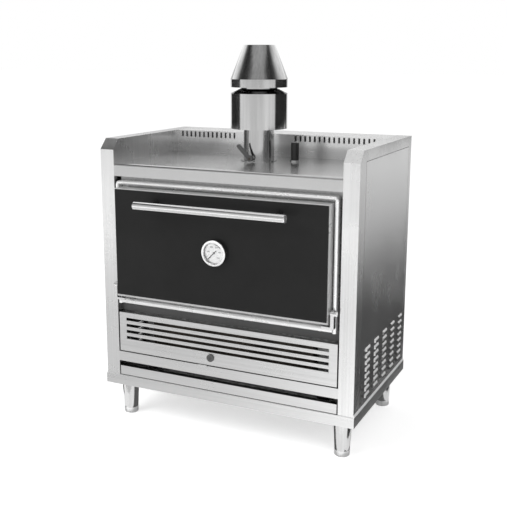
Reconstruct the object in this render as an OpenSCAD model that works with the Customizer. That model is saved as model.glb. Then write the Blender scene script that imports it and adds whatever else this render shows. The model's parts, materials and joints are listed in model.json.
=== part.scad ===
// Charcoal oven: an insulated firebox with a drop-down door in a cabinet on four legs,
// with an ash drawer under it and a flue with a firebreak drum and a hat over it.
// The front faces -Y, +X is the viewer's right and the feet rest on z = 0.
// Every sub-part is drawn from the cabinet's own datum: x = 0 in the middle,
// y = 0 at the face of the front posts, z = 0 under the base frame.

/* [Cabinet] */
// Width over the two side frames
cabinet_w = 920; // [880:5:1000]
// Depth of the side frames
cabinet_d = 577; // [570:1:640]
// Width of each side frame seen from the front
post_w = 52; // [46:1:60]
// Depth of the front posts, up to the seam of the side panels
post_d = 60; // [52:1:75]
// Depth of the rear posts
rear_post_d = 30; // [24:1:40]
// Height of the cheeks above the worktop
cheek_rise = 80.5; // [70:0.5:95]
// Height of the rail along the top of each side
top_rail_h = 35; // [28:1:45]
// Height of the sloping front end of the cheeks
chamfer_h = 35; // [20:1:45]
// Depth of the sloping front end of the cheeks
chamfer_d = 34; // [20:1:50]
// Thickness of the cabinet sheet
sheet = 1.5; // [1.2:0.1:2]

/* [Front strips, from the bottom up] */
// Height of the base frame
base_h = 35; // [30:1:45]
// How far the base frame stands out past the side frames
base_reach = 3; // [2:0.5:6]
// Seam between base frame and lower rail
plinth_gap = 2; // [1:0.5:4]
// Height of the lower rail
plinth_h = 33.5; // [28:0.5:45]
// Height of the air inlet
inlet_h = 18.5; // [14:0.5:26]
// Height of the middle rail
middle_h = 34.5; // [30:0.5:45]
// Gap between middle rail and drawer, where the shutter's tab comes out
drawer_gap = 4; // [3.5:0.1:6]
// Height of the drawer front
drawer_h = 140.5; // [136:0.5:170]
// Height of the dark recess over the drawer
recess_h = 36; // [33:1:50]
// Height of the oven's front frame
frame_h = 429; // [403:1:473]
// Gap between front frame and apron
frame_gap = 13.7; // [8:0.1:20]
// Height of the worktop's apron
apron_h = 42.8; // [36:0.2:55]
// Radius of the worktop's front edge
worktop_roll = 8; // [4:0.5:12]

/* [Legs] */
// Height of the legs with their feet
leg_h = 127; // [110:1:160]
// Distance of a leg's axis from the cabinet's side
leg_inset_x = 55; // [45:1:70]
// Distance of a leg's axis from the cabinet's front or back
leg_inset_y = 62; // [50:1:75]
// Diameter of a leg at its top
leg_top_d = 61; // [56:1:70]
// Diameter of a leg at its foot
leg_foot_d = 50; // [44:1:54]
// Wall of the leg tube
leg_wall = 2.5; // [2:0.5:4]
// Height of the adjustable foot
foot_h = 22; // [16:1:30]
// Diameter of the foot's stem
stem_d = 20; // [16:1:24]

/* [Side louvres] */
// Columns of louvres in each side panel
louvre_cols = 5; // [3:1:5]
// Rows of louvres in each side panel
louvre_rows = 8; // [4:1:10]
// Length of a louvre
louvre_len = 60; // [50:1:84]
// Height of a louvre
louvre_h = 13; // [10:0.5:16]
// How far a louvre stands out
louvre_out = 5; // [3:0.5:6]
// Distance between louvre columns
louvre_pitch_y = 94.5; // [90:0.5:96]
// Distance between louvre rows
louvre_pitch_z = 22.5; // [19:0.5:28]

/* [Front frame and mouth] */
// Gap between front frame and front posts
frame_side_gap = 10; // [6:1:14]
// Width of the frame's rounded lip
lip_w = 12; // [10:0.5:14]
// How far the lip stands out in front of the posts
lip_reach = 10; // [6:0.5:12]
// Height of the sill bar
sill_h = 20; // [15:0.5:24]
// Distance from the lip to the mouth at each side
mouth_inset = 51; // [47:1:60]
// Distance from the frame's bottom edge to the mouth
mouth_rise = 100; // [93:1:108]
// Distance from the mouth to the frame's top edge
mouth_drop = 41; // [38:1:48]
// Wall of the firebox mouth
mouth_wall = 8; // [6:0.5:9]

/* [Door] */
// Gap between door and lip at each side
door_side_gap = 4; // [3.5:0.1:6]
// Distance from the frame's bottom edge to the door
door_rise = 36; // [34:0.5:39]
// Distance from the door to the frame's top edge
door_drop = 21; // [17:0.5:26]
// Thickness of the door shell
door_t = 38; // [34:1:44]
// Thickness of the black front plate
plate_t = 4; // [3:0.5:5]
// Light border of the door shell beside the front plate
trim_side = 3; // [2:0.5:8]
// Light border of the door shell under the front plate
trim_bottom = 7; // [4:0.5:12]
// Height of the hinge axis above the door's lower edge
pivot_rise = 32; // [29:0.5:34]
// Distance of the hinge axis in front of the door's back
pivot_in = 20; // [19:0.5:22]
// Diameter of the hinge pins
pin_d = 12; // [10:0.5:14]
// How far the door opens, in degrees
door_turn = 90; // [60:5:90]

/* [Door handle] */
// Length of the handle bar
handle_len = 532; // [460:2:600]
// Diameter of the handle bar
handle_d = 27; // [22:0.5:32]
// Distance from the front plate to the bar's axis
handle_off = 60; // [50:1:66]
// Distance of the bar's axis below the door's upper edge
handle_drop = 41; // [34:1:60]
// Distance between the two posts
post_span = 440; // [360:2:450]
// Diameter of the posts
handle_post_d = 18; // [14:1:22]
// Chamfer at the ends of the handle bar
handle_edge = 2; // [1:0.5:4]

/* [Thermometer] */
// Diameter of the thermometer's bezel
dial_d = 95; // [85:1:110]
// Height of the thermometer above the door's lower edge
dial_rise = 190; // [170:1:210]
// Diameter of the thermometer's stem
stem_probe_d = 8; // [6:0.5:10]
// Angle of the cold needle below the horizontal, on the left
cold_turn = 45; // [30:1:60]

/* [Firebox and casing] */
// Plate of the firebox
firebox_t = 6; // [4:0.5:8]
// Depth of the firebox outside
firebox_d = 426; // [400:1:440]
// Insulation under the firebox
insul_floor = 30; // [24:1:34]
// Insulation over the firebox
insul_roof = 42; // [35:1:44]
// Insulation behind the firebox
insul_rear = 35; // [25:1:45]
// Sheet of the oven casing
casing_t = 2; // [1.5:0.1:3]
// Length of the ash opening in the firebox floor
ash_hole_w = 400; // [300:10:440]
// Depth of the ash opening in the firebox floor
ash_hole_d = 250; // [200:10:280]
// Height of the lower rack above the firebox floor
lower_rack_z = 150; // [130:5:170]
// Height of the upper rack above the firebox floor
upper_rack_z = 260; // [240:5:290]
// Distance between rack rods
rod_pitch = 25; // [20:1:32]
// Diameter of the rack rods
rod_d = 6; // [5:0.5:8]

/* [Drawer and draught] */
// Length of the ash pan
pan_d = 380; // [340:5:390]
// Width of the ash pan
pan_w = 600; // [560:5:620]
// Sheet of the ash pan
pan_t = 2; // [1.5:0.5:3]
// Louvre slots in the drawer front
slot_rows = 4; // [2:1:4]
// Distance between the drawer's slots
slot_pitch = 22.2; // [20:0.2:23]
// Height of one drawer slot
slot_h = 9; // [6:0.5:10]
// Length of the drawer's slots
slot_len = 750; // [600:10:770]
// Diameter of the drawer's round lock
lock_d = 26; // [22:0.5:30]
// Distance of the lock from the middle, to the left
lock_x = 44; // [30:1:60]
// Air slots in the register under the drawer
register_slots = 16; // [8:1:16]
// Width of an air slot, which is also the shutter's travel
register_slot_w = 22; // [16:1:22]
// Distance between air slots
register_pitch = 45; // [45:1:47]

/* [Rear vent box] */
// Depth of the vent box
vent_d = 141.5; // [110:0.5:160]
// Height of the slotted band
vent_band_h = 40; // [30:1:45]
// Width of one vent slot
vent_slot_w = 7; // [5:0.5:9]
// Height of one vent slot
vent_slot_h = 20; // [12:1:24]
// Distance between vent slots
vent_pitch = 18.2; // [16:0.2:19]
// Vent slots left of the plain middle
vent_left = 13; // [6:1:14]
// Vent slots right of the plain middle
vent_right = 17; // [6:1:18]

/* [Flue] */
// Distance of the flue's axis behind the front posts
flue_y = 287; // [270:1:300]
// Bore of the flue
flue_bore = 101; // [90:1:110]
// Wall of the flue tube
flue_wall = 2; // [1.5:0.1:3]
// Height of the neck above the worktop
neck_h = 112; // [100:1:130]
// Diameter of the firebreak drum and of the hat
drum_d = 196; // [180:2:216]
// Height of the drum's straight wall
drum_h = 119; // [100:1:140]
// Height of the drum's sloping shoulder
shoulder_h = 15.5; // [10:0.5:24]
// Diameter of the drum's upper spigot
spigot_d = 128; // [116:2:140]
// Open gap between drum shoulder and hat
hat_gap = 5; // [3:0.5:10]
// Height of the hat's straight rim
rim_h = 27; // [22:1:36]
// Height of the hat's cone
cone_h = 113; // [95:1:130]
// Sheet of drum and hat
flue_sheet = 1.5; // [1.2:0.1:2]
// Height of the flue damper's shaft above the worktop
damper_rise = 14; // [13:0.5:18]
// Diameter of the flue damper's shaft
damper_shaft_d = 8; // [6:0.5:9]
// Length of the flue damper's lever
lever_len = 57; // [45:1:65]
// Tilt of the flue damper at rest, in degrees from upright
damper_tilt = 45; // [40:1:50]

/* [Throat damper] */
// Distance of the knob from the flue's axis, to the right
knob_dx = 126; // [116:1:136]
// Distance of the knob from the flue's axis, to the back
knob_dy = 21; // [10:1:30]
// Diameter of the knob
knob_d = 27.5; // [22:0.5:32]
// Height of the knob
knob_h = 60; // [45:1:70]
// Diameter of the throat damper's shaft
throat_shaft_d = 12; // [10:0.5:14]

/* [Hidden] */
$fn = 64;
eps = 0.01;
// Radial clearance of shafts and pins in their holes
shaft_fit = 0.05;
// Gap under a piece that slides
slide_gap = 0.3;
// Clearance round fixed tubes that pass through sheets
pass_gap = 0.5;

// Heights of the front, from the bottom up
plinth_z = base_h + plinth_gap;
inlet_z = plinth_z + plinth_h;
middle_z = inlet_z + inlet_h;
middle_top = middle_z + middle_h;
drawer_z = middle_top + drawer_gap;
recess_z = drawer_z + drawer_h;
frame_z = recess_z + recess_h;
frame_top = frame_z + frame_h;
apron_z = frame_top + frame_gap;
worktop_z = apron_z + apron_h;
cabinet_h = worktop_z + cheek_rise;

// Half widths
half_w = cabinet_w / 2;
bay = half_w - post_w;
frame_x = bay - frame_side_gap;
lip_x = frame_x - lip_w;
door_x = lip_x - door_side_gap;
mouth_x = lip_x - mouth_inset;
// The firebox is wider than its mouth by this at each side
firebox_lip = 5;
firebox_x = mouth_x + firebox_lip + firebox_t;
drawer_side_gap = 5;
drawer_x = bay - drawer_side_gap;

// Depths
rear_y = cabinet_d;
panel_y = rear_y - sheet;
web_y = 20;
web_t = 2;
casing_y = 28;
firebox_y = casing_y + casing_t;
firebox_rear = firebox_y + firebox_d;
casing_rear = firebox_rear + insul_rear + casing_t;
// The firebox mouth stands this far behind the posts' face
mouth_y = 2;

// Heights of firebox and casing
casing_drop = 6;
casing_z = recess_z - casing_drop;
casing_rise = 22;
casing_top = frame_top + casing_rise;
firebox_z = casing_z + casing_t + insul_floor;
firebox_top = casing_top - casing_t - insul_roof;
floor_z = firebox_z + firebox_t;
roof_z = firebox_top - firebox_t;
mouth_z = frame_z + mouth_rise;
mouth_top = frame_top - mouth_drop;
ash_y = 100;
chute_drop = 12;

// Supports between base frame and casing
support_w = 40;
support_wall = 2;
runner_gap = 2;
support_x = pan_w / 2 + runner_gap + sheet;
support_front = 90;
support_rear = 430;

// Door
door_z = frame_z + door_rise;
door_top = frame_top - door_drop;
door_sheet = 2;
plate_y = -door_t - plate_t;
pivot_y = -pivot_in;
pivot_z = door_z + pivot_rise;
plug_gap = 8;
plug_depth = 14;
plug_x = mouth_x - plug_gap;
plug_z = mouth_z + plug_gap;
plug_top = mouth_top - plug_gap;
seal_t = 1.7;
seal_w = 9;
block_w = 24;
block_h = 40;
handle_y = plate_y - handle_off;
handle_z = door_top - handle_drop;
handle_reach = -handle_y + handle_d / 2;

// Hinge brackets
bracket_t = 10;
bracket_x = door_x + 6;
bracket_out = bracket_x + bracket_t;
bracket_r = 12;
bracket_y = pivot_y - bracket_r;
bracket_foot_w = 28;
bracket_foot_t = 7;
bracket_foot_rear = 15;
pin_head_d = 16;
pin_head_t = 7;

// Thermometer, from the plate forwards
dial_z = door_z + dial_rise;
case_d = dial_d - 7;
glass_d = case_d - 1;
case_bore = case_d - 4;
ledge_d = case_bore - 8;
case_back = 2;
case_len = 14.5;
dial_len = 9;
dial_t = 1;
glass_t = 2;
bezel_t = 2;
bezel_len = 12.5;
bezel_lip = 7.5;
spindle_d = 2;
needle_t = 1.2;
needle_w = 3;
needle_hub_d = 8;
needle_off = 0.8;
probe_len = 22;

// Drawer
drawer_flange = 18;
fold_rise = 22.5;
slot_top_drop = 18.2;
bulge_h = 8;
bulge_out = 3;
bulge_t = 1;
pan_y = 60;
pan_z = drawer_z + 12.5;
pan_top_gap = 22;
pan_top = casing_z - pan_top_gap;
arm_w = 20;
arm_h = 16;
runner_shelf = 30;
runner_t = 2;
runner_h = 30;
runner_front = 80;
runner_rear = 480;
lock_rise = 26.5;
lock_core_d = 15;
lock_barrel_d = 19;
lock_out = 4;
lock_barrel = 16;
cam_len = 20;
cam_w = 9;
cam_t = 3;

// Air register and shutter
register_y = 20;
register_d = 60;
register_drop = 11.5;
register_z = middle_top - register_drop;
register_t = 2;
guide_w = 4;
guide_h = 4;
guide_lip = 3;
guide_lip_t = 1;
shutter_t = 2;
shutter_end = 30;
air_slot_d = 34;
tab_x = -72.5;
tab_w = 31;
tab_t = 1.5;
tab_y = 28;
tab_clear = 1.2;
tab_front = -1.5;
tab_drop = 5.5;

// Flue
flue_r = flue_bore / 2;
neck_r = flue_r + flue_wall;
collar_rise = 20;
joint_z = casing_top + collar_rise;
neck_top = worktop_z + neck_h;
neck_flange_w = 10;
neck_flange_t = 3;
drum_r = drum_d / 2;
drum_top = neck_top + drum_h;
shoulder_top = drum_top + shoulder_h;
spigot_r = spigot_d / 2;
spigot_h = 14;
hat_z = shoulder_top + hat_gap;
rim_top = hat_z + rim_h;
hat_top = rim_top + cone_h;
outlet_r = neck_r + 0.9;
sleeve_h = 30;
strut_h = 7;
strut_t = 3;
strut_z = hat_z + 1;
baffle_r = 68;
baffle_rise = 58;
baffle_t = 2;
baffle_leg_w = 12;
baffle_leg_t = 3;
baffle_leg_r = 56;
damper_z = worktop_z + damper_rise;
damper_gap = 1;
damper_t = 2;
boss_d = 16;
boss_len = 12;
lever_hub_d = 20;
lever_hub_t = 14;
lever_w = 14;
lever_t = 5;

// Throat damper
knob_x = knob_dx;
knob_y = flue_y + knob_dy;
knob_collar_d = 36;
knob_collar_t = 6;
knob_sleeve_d = 20;
knob_sleeve_h = 20;
knob_z = worktop_z + knob_collar_t + 0.5;
knob_cap = 6;
throat_r = flue_r + 7.5;
throat_t = 2;
throat_gap = 0.5;
throat_arm_w = 20;
throat_arm_t = 4;

// Rear fasteners
screw_d = 4;
screw_head_d = 9;
screw_head_t = 2;
screw_len = 7;
screw_rows = 4;

// The cabinet's datum in the part's frame: feet on z = 0, depth centred on the origin
datum_y = (handle_reach - cabinet_d - base_reach) / 2;

// Colours
c_steel = "#c8c8c8";
c_bright = "#dedede";
c_side = "#a4a4a4";
c_black = "#2b2b2c";
c_iron = "#3a3836";
c_dark = "#4a4a4a";
c_wool = "#b9a77c";
c_glass = "#cfe0e6";
c_dial = "#e4e4e0";

// Moves the cabinet's datum to its place in the part's frame
module cabinet() {
    translate([0, datum_y, leg_h]) children();
}

// A block between two corners, each axis given as [low, high]
module span(x, y, z) {
    translate([x[0], y[0], z[0]]) cube([x[1] - x[0], y[1] - y[0], z[1] - z[0]]);
}

// A round bar along X, from x[0] to x[1]
module rod_x(x, y, z, d) {
    translate([x[0], y, z]) rotate([0, 90, 0]) cylinder(d = d, h = x[1] - x[0]);
}

// A round bar along Y, from y[0] to y[1]
module rod_y(x, y, z, d) {
    translate([x, y[0], z]) rotate([-90, 0, 0]) cylinder(d = d, h = y[1] - y[0]);
}

// A round bar along Z, from z[0] to z[1]
module rod_z(x, y, z, d) {
    translate([x, y, z[0]]) cylinder(d = d, h = z[1] - z[0]);
}

// The children and their mirror image at the left
module both() {
    children();
    mirror([1, 0, 0]) children();
}

// A prism along X, from x0 over length w, with its outline in (y, z)
module prism_x(x0, w, outline) {
    translate([x0, 0, 0]) rotate([90, 0, 90]) linear_extrude(w) polygon(outline);
}

// Radius of a circle that rises by rise over a chord
function crown_r(chord, rise) = (chord * chord / 4 + rise * rise) / (2 * rise);

// Pressed louvre, its length along Y and its crown towards +X, without its hollow
module louvre_skin(len, h, out) {
    r = crown_r(h, out);
    intersection() {
        translate([out - r, -len / 2, 0]) rotate([-90, 0, 0]) cylinder(r = r, h = len);
        span([-sheet / 2, out + 1], [-len / 2, len / 2], [-h / 2, h / 2]);
    }
}

// Hollow of a pressed louvre and its mouth along the lower edge
module louvre_hollow(len, h, out, wall) {
    r = crown_r(h, out);
    intersection() {
        translate([out - r, wall - len / 2, 0]) rotate([-90, 0, 0])
            cylinder(r = r - wall, h = len - 2 * wall);
        span([-2 * sheet, out + 1], [-len / 2, len / 2], [-h / 2 + wall, h / 2 - wall]);
    }
    span([0, out + 1], [wall - len / 2, len / 2 - wall], [-h / 2 - 1, -h / 4]);
}

// Channel rail across the front, open to the back
module channel_rail(z, x, depth) {
    span([-x, x], [0, sheet], z);
    span([-x, x], [0, depth], [z[0], z[0] + sheet]);
    span([-x, x], [0, depth], [z[1] - sheet, z[1]]);
}

// Base frame: a tray with a turned-in top edge, two cross rails and corner plates for the legs
module base_frame() color(c_steel) cabinet() {
    wall = 2;
    lip = 30;
    plate = 4;
    plate_w = 2 * leg_inset_x;
    x = half_w + base_reach;
    y = [-base_reach, rear_y + base_reach];
    difference() {
        span([-x, x], y, [0, base_h]);
        span([wall - x, x - wall], [y[0] + wall, y[1] - wall], [wall, base_h - wall]);
        span([lip - x, x - lip], [y[0] + lip, y[1] - lip], [wall, base_h + 1]);
    }
    for (front = [support_front, support_rear])
        span([wall - x - eps, x - wall + eps], [front, front + support_w], [wall - eps, base_h]);
    for (side = [-1, 1], end = [leg_inset_y, rear_y - leg_inset_y])
        span([side * (half_w - leg_inset_x) - plate_w / 2, side * (half_w - leg_inset_x) + plate_w / 2],
            [end - leg_inset_y, end + leg_inset_y], [wall - eps, plate]);
}

// Places its children at the four legs' axes
module at_legs() {
    for (side = [-1, 1], end = [leg_inset_y, rear_y - leg_inset_y])
        translate([side * (half_w - leg_inset_x), end, 0]) children();
}

leg_plug = 18;
leg_len = leg_h - foot_h;

// Tapered leg tubes with a plug that guides the foot's stem
module legs() color(c_bright) cabinet() at_legs() {
    bore_top_d = leg_top_d - 2 * leg_wall;
    bore_foot_d = leg_foot_d - 2 * leg_wall;
    difference() {
        translate([0, 0, -leg_len]) cylinder(d1 = leg_foot_d, d2 = leg_top_d, h = leg_len);
        translate([0, 0, leg_plug - leg_len])
            cylinder(d1 = bore_foot_d, d2 = bore_top_d, h = leg_len - leg_plug + eps);
        rod_z(0, 0, [-leg_len - 1, 1 - leg_len + leg_plug], stem_d + 2 * shaft_fit);
    }
}

// Adjustable foot with its stem, at one leg's axis
module foot(side, end) color(c_steel) cabinet() {
    stem_up = 60;
    sole_d = leg_foot_d - 6;
    translate([side * (half_w - leg_inset_x), end, -leg_h]) {
        cylinder(d1 = sole_d, d2 = leg_foot_d, h = 4);
        translate([0, 0, 4]) cylinder(d = leg_foot_d, h = foot_h - 4);
        rod_z(0, 0, [foot_h - eps, foot_h + stem_up], stem_d);
    }
}

module foot_front_left() foot(-1, leg_inset_y);
module foot_front_right() foot(1, leg_inset_y);
module foot_rear_left() foot(-1, rear_y - leg_inset_y);
module foot_rear_right() foot(1, rear_y - leg_inset_y);

// Outline of a side frame in (y, z), drawn in by t on every side but the bottom
function side_outline(t, foot) = let (slope = norm([chamfer_d, chamfer_h])) [
    [t, foot],
    [t, cabinet_h - chamfer_h - t * (slope - chamfer_h) / chamfer_d],
    [chamfer_d + t * (slope - chamfer_d) / chamfer_h, cabinet_h - t],
    [rear_y - t, cabinet_h - t],
    [rear_y - t, foot]
];

panel_window_y = [post_d, rear_y - rear_post_d];
panel_window_top = cabinet_h - top_rail_h;
cheek_skirt = 60;
rear_flange_w = 18;

// Side frame at the right: front post, cheek, top rail and rear post folded from one sheet
module side_frame() {
    flange_top = worktop_z - 20;
    difference() {
        union() {
            difference() {
                prism_x(bay, post_w, side_outline(0, base_h));
                prism_x(bay + sheet, post_w - 2 * sheet, side_outline(sheet, base_h - 1));
                span([half_w - 2 * sheet, half_w + 1], panel_window_y, [base_h - 1, panel_window_top]);
                span([bay - 1, bay + 2 * sheet], panel_window_y, [base_h - 1, worktop_z - cheek_skirt]);
            }
            span([bay - rear_flange_w, bay + eps], [panel_y - sheet, panel_y], [base_h, flange_top]);
        }
        screw_holes();
    }
}

module side_frame_right() color(c_steel) cabinet() side_frame();
module side_frame_left() color(c_steel) cabinet() mirror([1, 0, 0]) side_frame();

// Places its children at the louvres of one side panel
module at_louvres() {
    middle_y = (panel_window_y[0] + panel_window_y[1]) / 2;
    louvre_shift = 15;
    louvre_rise = 33;
    first_y = middle_y - (louvre_cols - 1) * louvre_pitch_y / 2 + louvre_shift;
    first_z = base_h + louvre_rise;
    for (c = [0 : louvre_cols - 1], r = [0 : louvre_rows - 1])
        translate([half_w, first_y + c * louvre_pitch_y, first_z + r * louvre_pitch_z]) children();
}

// Side panel at the right: it fills the window and laps behind the frame all round
module side_panel() {
    seam = 0.6;
    lap = 7;
    rim = 12;
    y = [panel_window_y[0] + seam, panel_window_y[1] - seam];
    z = [base_h, panel_window_top - seam];
    difference() {
        union() {
            span([half_w - sheet - eps, half_w], y, z);
            difference() {
                span([half_w - 2 * sheet, half_w - sheet],
                    [panel_window_y[0] - lap, panel_window_y[1] + lap], [base_h, panel_window_top + lap]);
                span([half_w - 3 * sheet, half_w], [y[0] + rim, y[1] - rim], [base_h - 1, z[1] - rim]);
            }
            at_louvres() louvre_skin(louvre_len, louvre_h, louvre_out);
        }
        at_louvres() louvre_hollow(louvre_len, louvre_h, louvre_out, 1);
    }
}

module side_panel_right() color(c_side) cabinet() side_panel();
module side_panel_left() color(c_side) cabinet() mirror([1, 0, 0]) side_panel();

// Distances of the lowest and highest rear screw from the base frame and the worktop
screw_low = 20;
screw_high = 60;

// Places its children at the rear screws of the right side, on the panel's outer face
module at_screws() {
    low = base_h + screw_low;
    step = (worktop_z - screw_high - low) / (screw_rows - 1);
    for (row = [0 : screw_rows - 1])
        translate([bay - rear_flange_w / 2, rear_y, low + row * step]) children();
}

// Clearance holes for the rear screws of the right side
module screw_holes() {
    at_screws() rod_y(0, [-screw_len - 1, 1], 0, screw_d + 2 * pass_gap);
}

// Rear panel between the rear posts, with three rows of air slots
module rear_panel() color(c_side) cabinet() {
    air_w = 60;
    air_h = 6;
    air_pitch = 84;
    air_low = 60;
    air_step = 18;
    difference() {
        span([-bay, bay], [panel_y, rear_y], [base_h, cabinet_h]);
        both() screw_holes();
        for (c = [-3 : 3], r = [0 : 2])
            translate([c * air_pitch, rear_y, base_h + air_low + air_step * r])
                span([-air_w / 2, air_w / 2], [-sheet - 1, 1], [-air_h / 2, air_h / 2]);
    }
}

// Rear screws, four at each side
module rear_screws() color(c_bright) cabinet() both() at_screws() {
    rod_y(0, [0, screw_head_t], 0, screw_head_d);
    rod_y(0, [-screw_len, eps], 0, screw_d);
}

// Worktop tray with its rolled front edge, apron and turned-down sides
module worktop() color(c_bright) cabinet() {
    roll = worktop_roll;
    side_flange = 18;
    apron_return = 12;
    difference() {
        union() {
            span([-bay, bay], [roll, panel_y], [worktop_z - sheet, worktop_z]);
            span([-bay, bay], [0, sheet], [apron_z, worktop_z - roll]);
            span([-bay, bay], [0, apron_return], [apron_z, apron_z + sheet]);
            intersection() {
                difference() {
                    rod_x([-bay, bay], roll, worktop_z - roll, 2 * roll);
                    rod_x([-bay - 1, bay + 1], roll, worktop_z - roll, 2 * (roll - sheet));
                }
                span([-bay - 1, bay + 1], [-1, roll + eps], [worktop_z - roll - eps, worktop_z + 1]);
            }
            both() span([bay - sheet, bay], [roll, panel_y], [worktop_z - side_flange, worktop_z - eps]);
        }
        rod_z(0, flue_y, [worktop_z - 5, worktop_z + 5], 2 * (neck_r + pass_gap));
        rod_z(knob_x, knob_y, [worktop_z - 5, worktop_z + 5], knob_sleeve_d + 2 * pass_gap);
    }
}

// Vent box across the back of the worktop, with a slotted band under its top edge
module rear_vent_box() color(c_steel) cabinet() {
    y = panel_y - vent_d;
    band_z = cabinet_h - vent_band_h;
    slot_drop = 4;
    slot_z = cabinet_h - slot_drop - vent_slot_h;
    left_margin = 22;
    right_margin = 40;
    seam_off = 55;
    seam_w = 1;
    seam_depth = 0.6;
    seam_y = y + seam_off;
    foot_w = 14;
    difference() {
        union() {
            span([-bay, bay], [y, panel_y], [cabinet_h - sheet, cabinet_h]);
            span([-bay, bay], [y, y + sheet], [band_z, cabinet_h]);
            span([-bay, bay], [y + sheet - eps, y + 2 * sheet], [worktop_z, band_z + 5]);
            span([-bay, bay], [y + sheet, y + foot_w], [worktop_z, worktop_z + sheet]);
            span([-bay, bay], [panel_y - sheet, panel_y], [worktop_z, cabinet_h]);
            both() span([bay - sheet, bay], [y, panel_y], [worktop_z, cabinet_h]);
        }
        span([-bay - 1, bay + 1], [seam_y, seam_y + seam_w], [cabinet_h - seam_depth, cabinet_h + 1]);
        for (i = [0 : vent_left - 1])
            translate([-bay + left_margin + i * vent_pitch, y, slot_z])
                span([-vent_slot_w / 2, vent_slot_w / 2], [-1, 4 * sheet], [0, vent_slot_h]);
        for (i = [0 : vent_right - 1])
            translate([bay - right_margin - i * vent_pitch, y, slot_z])
                span([-vent_slot_w / 2, vent_slot_w / 2], [-1, 4 * sheet], [0, vent_slot_h]);
    }
}

module middle_rail() color(c_steel) cabinet() channel_rail([middle_z, middle_top], bay, drawer_flange);
module plinth_rail() color(c_steel) cabinet() channel_rail([plinth_z, inlet_z], bay, drawer_flange);

// Dark closing panel between sill and drawer, with tabs on the posts
module recess_panel() color(c_dark) cabinet() {
    gap = 1.5;
    y = casing_y - 3;
    span([-bay, bay], [y, y + sheet], [recess_z + gap, frame_z]);
    both() span([bay - sheet, bay], [y - drawer_flange / 2, y + eps], [recess_z + gap, frame_z]);
}

// Four posts that carry the oven casing on the base frame's cross rails
module casing_supports() color(c_dark) cabinet() both() {
    for (front = [support_front, support_rear])
        translate([support_x, front, 0]) difference() {
            span([0, support_w], [0, support_w], [base_h, casing_z]);
            span([support_wall, support_w - support_wall], [support_wall, support_w - support_wall],
                [base_h - 1, casing_z + 1]);
        }
}

// The ash chute's outline at the firebox floor, grown by g
module ash_hole(g, z) {
    span([-ash_hole_w / 2 - g, ash_hole_w / 2 + g], [ash_y - g, ash_y + ash_hole_d + g], z);
}

// The firebox mouth's outline, grown by g
module mouth(g, y) {
    span([-mouth_x - g, mouth_x + g], y, [mouth_z - g, mouth_top + g]);
}

// Sheet casing round the insulation
module oven_casing() color(c_side) cabinet() {
    difference() {
        span([-frame_x, frame_x], [casing_y, casing_rear], [casing_z, casing_top]);
        span([casing_t - frame_x, frame_x - casing_t], [firebox_y, casing_rear - casing_t],
            [casing_z + casing_t, casing_top - casing_t]);
        mouth(mouth_wall, [casing_y - 1, firebox_y + 1]);
        ash_hole(firebox_t, [casing_z - 1, casing_z + casing_t + 1]);
        rod_z(0, flue_y, [casing_top - casing_t - 1, casing_top + 1], 2 * (neck_r + pass_gap));
        rod_z(knob_x, knob_y, [casing_top - casing_t - 1, casing_top + 1], throat_shaft_d + 4 * pass_gap);
    }
}

// Mineral wool between firebox and casing
module casing_insulation() color(c_wool) cabinet() {
    difference() {
        span([casing_t - frame_x, frame_x - casing_t], [firebox_y, casing_rear - casing_t],
            [casing_z + casing_t, casing_top - casing_t]);
        span([-firebox_x, firebox_x], [firebox_y - 1, firebox_rear], [firebox_z, firebox_top]);
        ash_hole(firebox_t, [casing_z, firebox_z + 1]);
        rod_z(0, flue_y, [firebox_top - 1, casing_top], 2 * (neck_r + pass_gap));
        rod_z(knob_x, knob_y, [firebox_top - 1, casing_top], throat_shaft_d + 4 * pass_gap);
    }
}

// Firebox of thick plate with its mouth at the front and its ash chute below
module firebox() color(c_iron) cabinet() {
    difference() {
        union() {
            span([-firebox_x, firebox_x], [firebox_y, firebox_rear], [firebox_z, firebox_top]);
            mouth(mouth_wall, [mouth_y, firebox_y + eps]);
            ash_hole(firebox_t, [casing_z - chute_drop, firebox_z + eps]);
        }
        span([firebox_t - firebox_x, firebox_x - firebox_t],
            [firebox_y + firebox_t, firebox_rear - firebox_t], [floor_z, roof_z]);
        mouth(0, [mouth_y - 1, firebox_y + firebox_t + 1]);
        ash_hole(0, [casing_z - chute_drop - 1, floor_z + 1]);
        rod_z(0, flue_y, [roof_z - 1, firebox_top + 1], flue_bore);
        rod_z(knob_x, knob_y, [roof_z - 1, firebox_top + 1], throat_shaft_d + 2 * shaft_fit);
    }
}

// Section of the frame's lip in (outward, forward), a flat bar with a full round front
module lip_section(inner) {
    translate([inner, -casing_y]) square([lip_w, casing_y + lip_reach - lip_w / 2]);
    translate([inner + lip_w / 2, lip_reach - lip_w / 2]) circle(d = lip_w);
}

// Front frame: a rounded lip on three sides and a web back to the firebox mouth
module front_frame() color(c_bright) cabinet() {
    corner = 2;
    x = lip_x - corner;
    z = frame_top - lip_w - corner;
    round_y = lip_w / 2 - lip_reach;
    both() {
        span([lip_x, frame_x], [round_y, casing_y], [frame_z, z]);
        rod_z(lip_x + lip_w / 2, round_y, [frame_z, z], lip_w);
        translate([x, 0, z]) intersection() {
            rotate([90, 0, 0]) rotate_extrude() lip_section(corner);
            span([0, 2 * lip_w], [-casing_y - 1, casing_y + 1], [0, 2 * lip_w]);
        }
    }
    span([-x, x], [round_y, casing_y], [frame_top - lip_w, frame_top]);
    rod_x([-x, x], round_y, frame_top - lip_w / 2, lip_w);
    difference() {
        span([-lip_x - 1, lip_x + 1], [web_y, web_y + web_t], [frame_z, frame_top - lip_w + 1]);
        mouth(mouth_wall, [web_y - 1, web_y + web_t + 1]);
    }
}

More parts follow.
